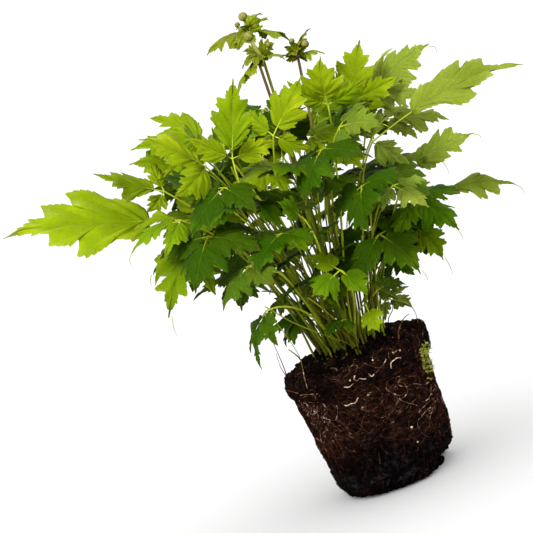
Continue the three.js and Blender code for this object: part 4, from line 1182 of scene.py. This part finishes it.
def root_strands(
    ball, name, count, seed, zone, steps, radius, tone, lift=(0.05, 0.5), heading=(0, 0.7), sparse=None,
):
    """Thin roots that wander over the ball between two heights, dark and light in patches. With a sparse
    value they are missing where the noise of the place is under it, and fade out where the soil is black."""
    shape = Shape()
    random = random_from(SEED + seed)
    rows = [ball.row_at(height) for height in zone]
    for _ in range(count):
        place, normal = ball.on(*wander(ball, rows, heading, steps, random))
        n = len(place)
        weave = mix(*lift, 0.5 + 0.5 * np.sin(random() * 6 + ROOT_WAVE * np.arange(n)))
        size = mix(*radius, random() ** 2) * np.linspace(1, ROOT_THINS, n)
        patch = rough(*place[0], PATCH_SIZE)
        shade = between(random, tone) + ROOT_PATCHES * patch
        edge = BLACK_BELOW + grainy(*place[0], EDGE_GRAIN) + between(random, EDGE_RANGE)
        if sparse is None or (patch > sparse and place[0][2] >= edge):
            ridge(shape, place + normal * weave[:, None], normal, size, shade)
    show(shape.piece(name, "root"), "root_mass")


def strand(shape, points, radius, tones, thin=0.5, slot=0):
    """A thin strand along a smooth curve through points."""
    points = np.array(points, float)
    t = np.arange(len(points))
    fine = np.linspace(0, t[-1], STRAND_PLACES * t[-1] + 1)
    smooth = np.stack([np.interp(fine, t, values) for values in points.T], 1)
    for _ in range(STRAND_SMOOTHED):
        smooth[1:-1] = 0.25 * smooth[:-2] + 0.5 * smooth[1:-1] + 0.25 * smooth[2:]
    n = len(smooth)
    tube(shape, smooth, np.linspace(radius, radius * thin, n), 6, slot=slot, tone=np.linspace(*tones, n))


def loose_strands(ball):
    """Dry threads that stand off the rim, stalks that have sunk down, and white roots that curl out."""
    shape = Shape()
    for radius, tone, points in HANGING:
        strand(shape, points, radius, (tone, tone))
    for radius, points in FALLEN:
        strand(shape, points, radius, FALLEN_TONES, thin=0.6, slot=1)
    for radius, tone, points in WHITE_ROOTS:
        strand(shape, [ball.front(x, z, out) for x, z, out in points], radius, (tone, tone), thin=0.7)
    return shape.piece("loose_strands", "root", "stem")


def pebble(shape, place, size, flat, random, tone):
    """A crumb, granule or chip: a lump of three half lengths, turned at random."""
    tilt, turn = globe_grid(*PEBBLE_GRID)
    knobs = 1 + PEBBLE_KNOBS * np.sin(3 * turn + 5 * random()) * np.sin(2 * tilt + 3 * random())
    places = np.stack([
        np.sin(tilt) * np.cos(turn) * knobs * size,
        np.sin(tilt) * np.sin(turn) * knobs * size * PEBBLE_NARROW,
        np.cos(tilt) * knobs * size * flat * np.ones_like(turn),
    ], -1).reshape(-1, 3)
    spin = Matrix.Rotation(random() * 6, 3, Vector(tossed(random)))
    places = places @ np.array(spin) + place
    places[:, 2] = np.maximum(places[:, 2], 0)
    shape.add(places, grid_faces(*PEBBLE_GRID, closed=True), tone=tone)


def stem_feet(shape, random, roots):
    """Crumbs of soil heaped round the feet of the stems."""
    for x, y in roots:
        for _ in range(FOOT_CRUMBS):
            turn, out = 2 * math.pi * random(), between(random, FOOT_CRUMB_REACH)
            place = polar(out, turn, between(random, CROWN_TOPS)) + np.array([x, y, 0])
            size, tone = between(random, FOOT_CRUMB_SIZES), random() * FOOT_CRUMB_TONE
            pebble(shape, place, size, CRUMB_FLAT, random, tone)


def crumb_pieces(ball, roots):
    """Chips and crumbs on the top and the side, and pale granules in the side."""
    shape = Shape()
    random = random_from(SEED + 77)
    shoulder = ball.row_at(BALL_HEIGHT - 5)
    for _ in range(CHIP_COUNT):
        row = np.array(mix(shoulder, BALL_ROWS - 12, random()))
        place, normal = ball.on(row, random() * 2 * math.pi)
        size = mix(*CHIP_SIZES, random() ** 2)
        pebble(shape, place + normal * 0.5, size, between(random, CHIP_FLATS), random, random() * CHIP_TONE)
    for _ in range(CRUMB_COUNT):
        row = np.array(mix(ball.row_at(3), shoulder, random() ** CRUMB_LOW))
        place, _ = ball.on(row, random() * 2 * math.pi)
        pebble(shape, place, mix(*CRUMB_SIZES, random() ** 2), CRUMB_FLAT, random, random() * CRUMB_TONE)
    stem_feet(shape, random, roots)
    for x, z, size, tone in GRANULES:
        pebble(shape, ball.front(x, z, 0.5), size, 0.9, random, tone)
    return shape.piece("crumbs", "crumb")


def moss(ball):
    """A tuft of moss on the side: small leafy shoots."""
    shape = Shape()
    random = random_from(SEED + 99)
    for _ in range(MOSS_SHOOTS):
        foot = ball.front(between(random, MOSS_ACROSS), between(random, MOSS_HEIGHTS), MOSS_SUNK)
        outward = unit(foot * np.array([1, 1, 0]))
        lean = unit(outward + MOSS_LEAN * tossed(random, 0.3))
        length = between(random, MOSS_LENGTHS)
        for k in range(MOSS_LEAFLETS):
            at = foot + lean * length * (k + 1) / MOSS_LEAFLETS
            spread = unit(tossed(random) + 0.5 * lean)
            hair(shape, at, spread, between(random, MOSS_LEAFLET), slot=0, width=MOSS_WIDTH)
    return shape.piece("moss", "moss")


# Materials


def srgb(r, g, b):
    """A colour from its everyday 0 to 255 values."""
    channels = [v / 255 for v in (r, g, b)]
    return (*[v / 12.92 if v <= 0.04045 else ((v + 0.055) / 1.055) ** 2.4 for v in channels], 1.0)


class Material:
    """A node material under construction."""

    def __init__(self, name):
        self.material = bpy.data.materials.new(name)
        self.material.use_nodes = True
        self.tree = self.material.node_tree
        self.tree.nodes.clear()

    def node(self, kind, settings=(), **inputs):
        """Adds a node. Inputs are named as in Blender, with _ for a space, or i and their number. A socket is
        joined, and a value is set."""
        node = self.tree.nodes.new("ShaderNode" + kind)
        for key, value in dict(settings).items():
            setattr(node, key, value)
        for key, value in inputs.items():
            socket = node.inputs[int(key[1:]) if key[1:].isdigit() else key.replace("_", " ")]
            if isinstance(value, bpy.types.NodeSocket):
                self.tree.links.new(value, socket)
            else:
                socket.default_value = value
        return node

    def math(self, operation, a, b=0.0):
        return self.node("Math", {"operation": operation}, i0=a, i1=b).outputs[0]

    def add(self, *values):
        total = values[0]
        for value in values[1:]:
            total = self.math("ADD", total, value)
        return total

    def times(self, a, b):
        return self.math("MULTIPLY", a, b)

    def larger(self, a, b):
        return self.math("MAXIMUM", a, b)

    def mapped(self, value, low, high, to_low=0.0, to_high=1.0):
        return self.node("MapRange", i0=value, i1=low, i2=high, i3=to_low, i4=to_high).outputs[0]

    def blend(self, share, a, b, how="MIX"):
        kind = {"data_type": "RGBA", "blend_type": how, "clamp_factor": True}
        return self.node("Mix", kind, i0=share, i6=a, i7=b).outputs[2]

    def ramp(self, value, stops):
        node = self.node("ValToRGB", Fac=value)
        elements = node.color_ramp.elements
        while len(elements) < len(stops):
            elements.new(0.5)
        for element, (place, colour) in zip(elements, stops):
            element.position = place
            element.color = srgb(*colour)
        return node.outputs[0]

    def shaded(self, colour, share):
        """The colour, lightened or darkened by a share."""
        grey = self.node("CombineColor", Red=share, Green=share, Blue=share).outputs[0]
        return self.blend(1.0, colour, grey, "MULTIPLY")

    def place(self):
        return self.node("TexCoord").outputs["Object"]

    def noise(self, scale, detail, vector=None):
        return self.node("TexNoise", Vector=vector or self.place(), Scale=scale, Detail=detail).outputs[0]

    def grain(self, scale, detail, low, high, edge=0.3, vector=None):
        """Noise, stretched to run from a low to a high value. The edge is how much of it is cut off."""
        return self.mapped(self.noise(scale, detail, vector), edge, 1 - edge, low, high)

    def attribute(self, name):
        return self.node("Attribute", {"attribute_name": name}).outputs["Fac"]

    def uv(self, name):
        return self.node("UVMap", {"uv_map": name}).outputs[0]

    def split(self, vector):
        return self.node("SeparateXYZ", Vector=vector).outputs

    def bump(self, height, strength, distance):
        return self.node("Bump", Height=height, Strength=strength, Distance=distance).outputs[0]

    def skin(self, colour, roughness, specular, normal):
        settings = dict(Base_Color=colour, Roughness=roughness, Specular_IOR_Level=specular, Normal=normal)
        return self.node("BsdfPrincipled", **settings).outputs[0]

    def lit_through(self, skin, share, **light):
        """The skin, with a share of the light shining through it."""
        through = self.node("BsdfTranslucent", **light).outputs[0]
        return self.node("MixShader", Fac=share, i1=skin, i2=through).outputs[0]

    def finish(self, surface):
        self.tree.links.new(surface, self.node("OutputMaterial").inputs["Surface"])
        return self.material


def veins(m):
    """How far a point of a blade lies on a main vein or the rib, and on a finer vein or the net between."""
    number, outward, _ = m.split(m.uv("blade"))
    spacing = m.attribute("spacing")
    flat = m.uv("flat")
    main = m.mapped(m.times(m.math("PINGPONG", number, 0.5), spacing), 0.12, 0.42, 1.0, 0.0)
    rib = m.mapped(m.math("ABSOLUTE", m.split(flat)[1]), 0.0025, 0.0065, 1.0, 0.0)
    bent = m.add(m.times(number, 3.0), m.times(outward, 1.5))
    fine = m.mapped(m.times(m.math("PINGPONG", bent, 0.5), m.times(spacing, 0.33)), 0.05, 0.28, 1.0, 0.0)
    cells = m.node("TexVoronoi", {"feature": "DISTANCE_TO_EDGE"}, Vector=flat, Scale=46.0).outputs[0]
    net = m.mapped(cells, 0.0, 0.1, 1.0, 0.0)
    return m.larger(main, rib), m.larger(fine, m.times(net, 0.7))


def leaf_side(name, colours, vein_colours, glow, depth, roughness, specular, green):
    """One side of a leaf. Its veins are sunken where the depth is negative, and stand out otherwise."""
    m = Material(name)
    shade = m.add(m.attribute("tone"), m.grain(32.0, 4.0, *LEAF_PATCHES))
    main, net = veins(m)
    vein_colour = m.ramp(shade, vein_colours)
    colour = m.blend(m.times(net, 0.3), m.ramp(shade, colours), vein_colour)
    colour = m.blend(m.times(main, 0.65), colour, vein_colour)
    bluer = m.blend(1.0, colour, BLUER, "MULTIPLY")
    colour = m.blend(m.times(m.attribute("green"), green), colour, bluer)
    colour = m.blend(m.attribute("dry"), colour, srgb(*DRY_COLOUR))
    colour = m.shaded(colour, m.grain(800.0, 2.0, 0.88, 1.12))
    relief = m.add(m.times(main, depth), m.times(net, depth * 0.4), m.times(m.noise(600.0, 3.0), 0.5))
    normal = m.bump(relief, 0.8, 0.0008)
    shadow = m.mapped(m.larger(main, m.times(net, 0.35)), 0, 1, 1, 0.75)
    light = m.shaded(m.ramp(shade, glow), shadow)
    skin = m.skin(colour, roughness, specular, normal)
    return m.finish(m.lit_through(skin, GLOW_SHARE, Color=light, Normal=normal))


def stalk_look(name, stops, roughness, streak):
    """A stem, streaked along its length and blotched."""
    m = Material(name)
    along = m.node("Mapping", Vector=m.place(), Scale=(1.0, 1.0, 0.18)).outputs[0]
    streaks = m.grain(420.0, 3.0, -streak, streak, vector=along)
    colour = m.ramp(m.add(m.attribute("tone"), streaks, m.grain(45.0, 3.0, -streak, streak)), stops)
    normal = m.bump(m.noise(700.0, 2.0, along), 0.35, 0.0004)
    return m.finish(m.lit_through(m.skin(colour, roughness, 0.07, normal), STALK_GLOW, Color=colour))


def rough_look(name, colours, roughness, coarse, fine, depth):
    """A dry, rough material whose shade follows the tone of its vertices and two grains of noise."""
    m = Material(name)
    grains = (m.grain(coarse, 4.0, -0.2, 0.2, 0.25), m.grain(fine, 3.0, -0.12, 0.12, 0.25))
    shade = m.add(m.attribute("tone"), *grains)
    normal = m.bump(m.noise(fine, 4.0), depth, 0.001)
    return m.finish(m.skin(m.ramp(shade, colours), roughness, 0.01, normal))


def soil_look(name):
    """Peaty soil: brown where the roots hold it, darker at the collar, black and crumbly at the foot."""
    m = Material(name)
    grains = (m.grain(420.0, 5.0, -0.3, 0.3, 0.25), m.grain(60.0, 3.0, -0.25, 0.25))
    shade = m.add(m.attribute("tone"), *grains)
    edge = m.add(m.split(m.place())[2], m.grain(42.0, 4.0, -0.014, 0.014))
    low = m.mapped(edge, (BLACK_BELOW - 8) * MM, (BLACK_BELOW + 8) * MM, 1.0, 0.0)
    colour = m.blend(low, m.ramp(shade, SOIL_TONES), m.ramp(shade, PEAT_TONES))
    return m.finish(m.skin(colour, 0.9, 0.02, m.bump(m.noise(1300.0, 4.0), 0.9, 0.0012)))


def make_looks():
    """Every material by its name. Leaf sides end with how they shine and how much bluer they may be."""
    bract = (leaf_side, BRACT_COLOURS, BRACT_VEINS, BRACT_COLOURS)
    recipes = {
        "leaf_upper": (leaf_side, LEAF_TONES, VEIN_TONES, GLOW_TONES, -0.45, 0.42, 0.02, 1.0),
        "leaf_under": (leaf_side, UNDER_TONES, UNDER_VEIN_TONES, GLOW_TONES, 2.4, 0.65, 0.02, 1.0),
        "bract": (*bract, -1.0, 0.55, 0.06, 0.3),
        "bract_under": (*bract, 1.0, 0.65, 0.06, 0.3),
        "stem": (stalk_look, STEM_TONES, 0.5, 0.1),
        "flower_stalk": (stalk_look, FLOWER_TONES, 0.5, 0.07),
        "pedicel": (stalk_look, PEDICEL_TONES, 0.75, 0.1),
        "bud": (rough_look, BUD_TONES, 0.75, 500.0, 1800.0, 0.5),
        "hair": (rough_look, HAIR_TONES, 0.8, 300.0, 900.0, 0.8),
        "soil": (soil_look,),
        "root": (rough_look, ROOT_TONES, 0.75, 240.0, 1500.0, 0.5),
        "crumb": (rough_look, CRUMB_TONES, 0.9, 300.0, 1500.0, 0.8),
        "moss": (rough_look, MOSS_TONES, 0.75, 200.0, 900.0, 0.8),
    }
    return {name: make(name, *values) for name, (make, *values) in recipes.items()}


# The plant


def tone_slot(dark):
    """The record's slot for a leaf, by how dark it is."""
    return "leaf_young" if dark <= YOUNG_UP_TO else "leaf_green" if dark <= GREEN_UP_TO else "leaf_old"


def show(piece, slot, *nodes):
    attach(piece, "root")
    if nodes:
        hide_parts(*nodes)


def build_plant():
    """Every leaf, flower stem and bud. Returns where their stems stand."""
    specs = [{**USUAL, **spec} for spec in PLACED + tier_leaves()]
    free = slot_places()
    flower_roots = [take_slot(free, flower["whorl"]) for flower in FLOWERS]
    roots = [take_slot(free, spec["at"]) for spec in specs]
    for i, spec in enumerate(specs):
        node = f"leaf_{i + 1:02d}"
        show(fine_leaf(f"fine_{node}", as_placed(spec, i), roots[i], i), tone_slot(spec["dark"]), node)
    for i, flower in enumerate(FLOWERS):
        node = f"flower_stem_{i + 1}"
        show(fine_flower_stem(f"fine_{node}", flower, flower_roots[i], i), "flower_stalk", node)
        for letter, bud in zip("ab", flower["buds"]):
            node = f"bud_{i + 1}{letter}"
            show(fine_bud(f"fine_{node}", flower["whorl"], bud), "bud", node)
    inner_leaves()
    return flower_roots + roots


def build_ball(roots):
    ball = Ball()
    show(ball.piece(), "root_mass", "root_ball")
    for name, look in ROOT_LAYERS.items():
        root_strands(ball, name, **look)
    show(loose_strands(ball), "root_mass")
    show(crumb_pieces(ball, roots), "root_mass")
    show(moss(ball), "leaf_young")


# The studio


def add_light(name, place, size, power):
    data = bpy.data.lights.new(name, "AREA")
    data.shape = "DISK"
    data.size = size
    data.energy = power
    light = add_object(name, data)
    light.location = place
    light.rotation_euler = (Vector(LIGHT_TARGET) - Vector(place)).to_track_quat("-Z", "Y").to_euler()
    return light


def add_floor():
    floor = bpy.data.meshes.new("floor")
    half = FLOOR_HALF
    corners = [(-half, -half, 0), (half, -half, 0), (half, half, 0), (-half, half, 0)]
    floor.from_pydata(corners, [], [(0, 1, 2, 3)])
    m = Material("floor")
    tint = m.ramp(m.noise(3.0, 3.0), FLOOR_TONES)
    floor.materials.append(m.finish(m.node("BsdfPrincipled", Base_Color=tint, Roughness=0.9).outputs[0]))
    plane = add_object("floor", floor)
    return plane


def build_studio():
    """Soft light all round. The lamps leave the floor out, so that it stays one even white, no brighter."""
    world = bpy.data.worlds.new("studio")
    world.use_nodes = True
    background = world.node_tree.nodes["Background"]
    background.inputs["Color"].default_value = (1, 1, 1, 1)
    background.inputs["Strength"].default_value = WORLD_LIGHT
    bpy.context.scene.world = world
    floor_apart = bpy.data.collections.new("floor_apart")
    floor_apart.objects.link(add_floor())
    floor_apart.collection_objects[0].light_linking.link_state = "EXCLUDE"
    for light in LIGHTS:
        add_light(*light).light_linking.receiver_collection = floor_apart
    bpy.context.scene.view_settings.view_transform = "Standard"


def build_camera():
    """The camera looks a little down, and is rolled as the plant leans in the picture."""
    down, roll = math.radians(CAMERA_DOWN), math.radians(CAMERA_ROLL)
    forward = Vector((0, math.cos(down), -math.sin(down)))
    level = Vector((1, 0, 0))
    lift = Vector((0, math.sin(down), math.cos(down)))
    right = level * math.cos(roll) - lift * math.sin(roll)
    up = level * math.sin(roll) + lift * math.cos(roll)
    data = bpy.data.cameras.new("camera")
    data.lens = CAMERA_LENS
    data.sensor_width = 36
    camera = add_object("camera", data)
    place = Vector(CAMERA_TARGET) * MM - forward * CAMERA_DISTANCE * MM
    turn = Matrix((right, up, -forward)).transposed().to_4x4()
    camera.matrix_world = Matrix.Translation(place) @ turn
    bpy.context.scene.camera = camera


looks = make_looks()
build_ball(build_plant())
build_studio()
build_camera()
bpy.context.view_layer.update()
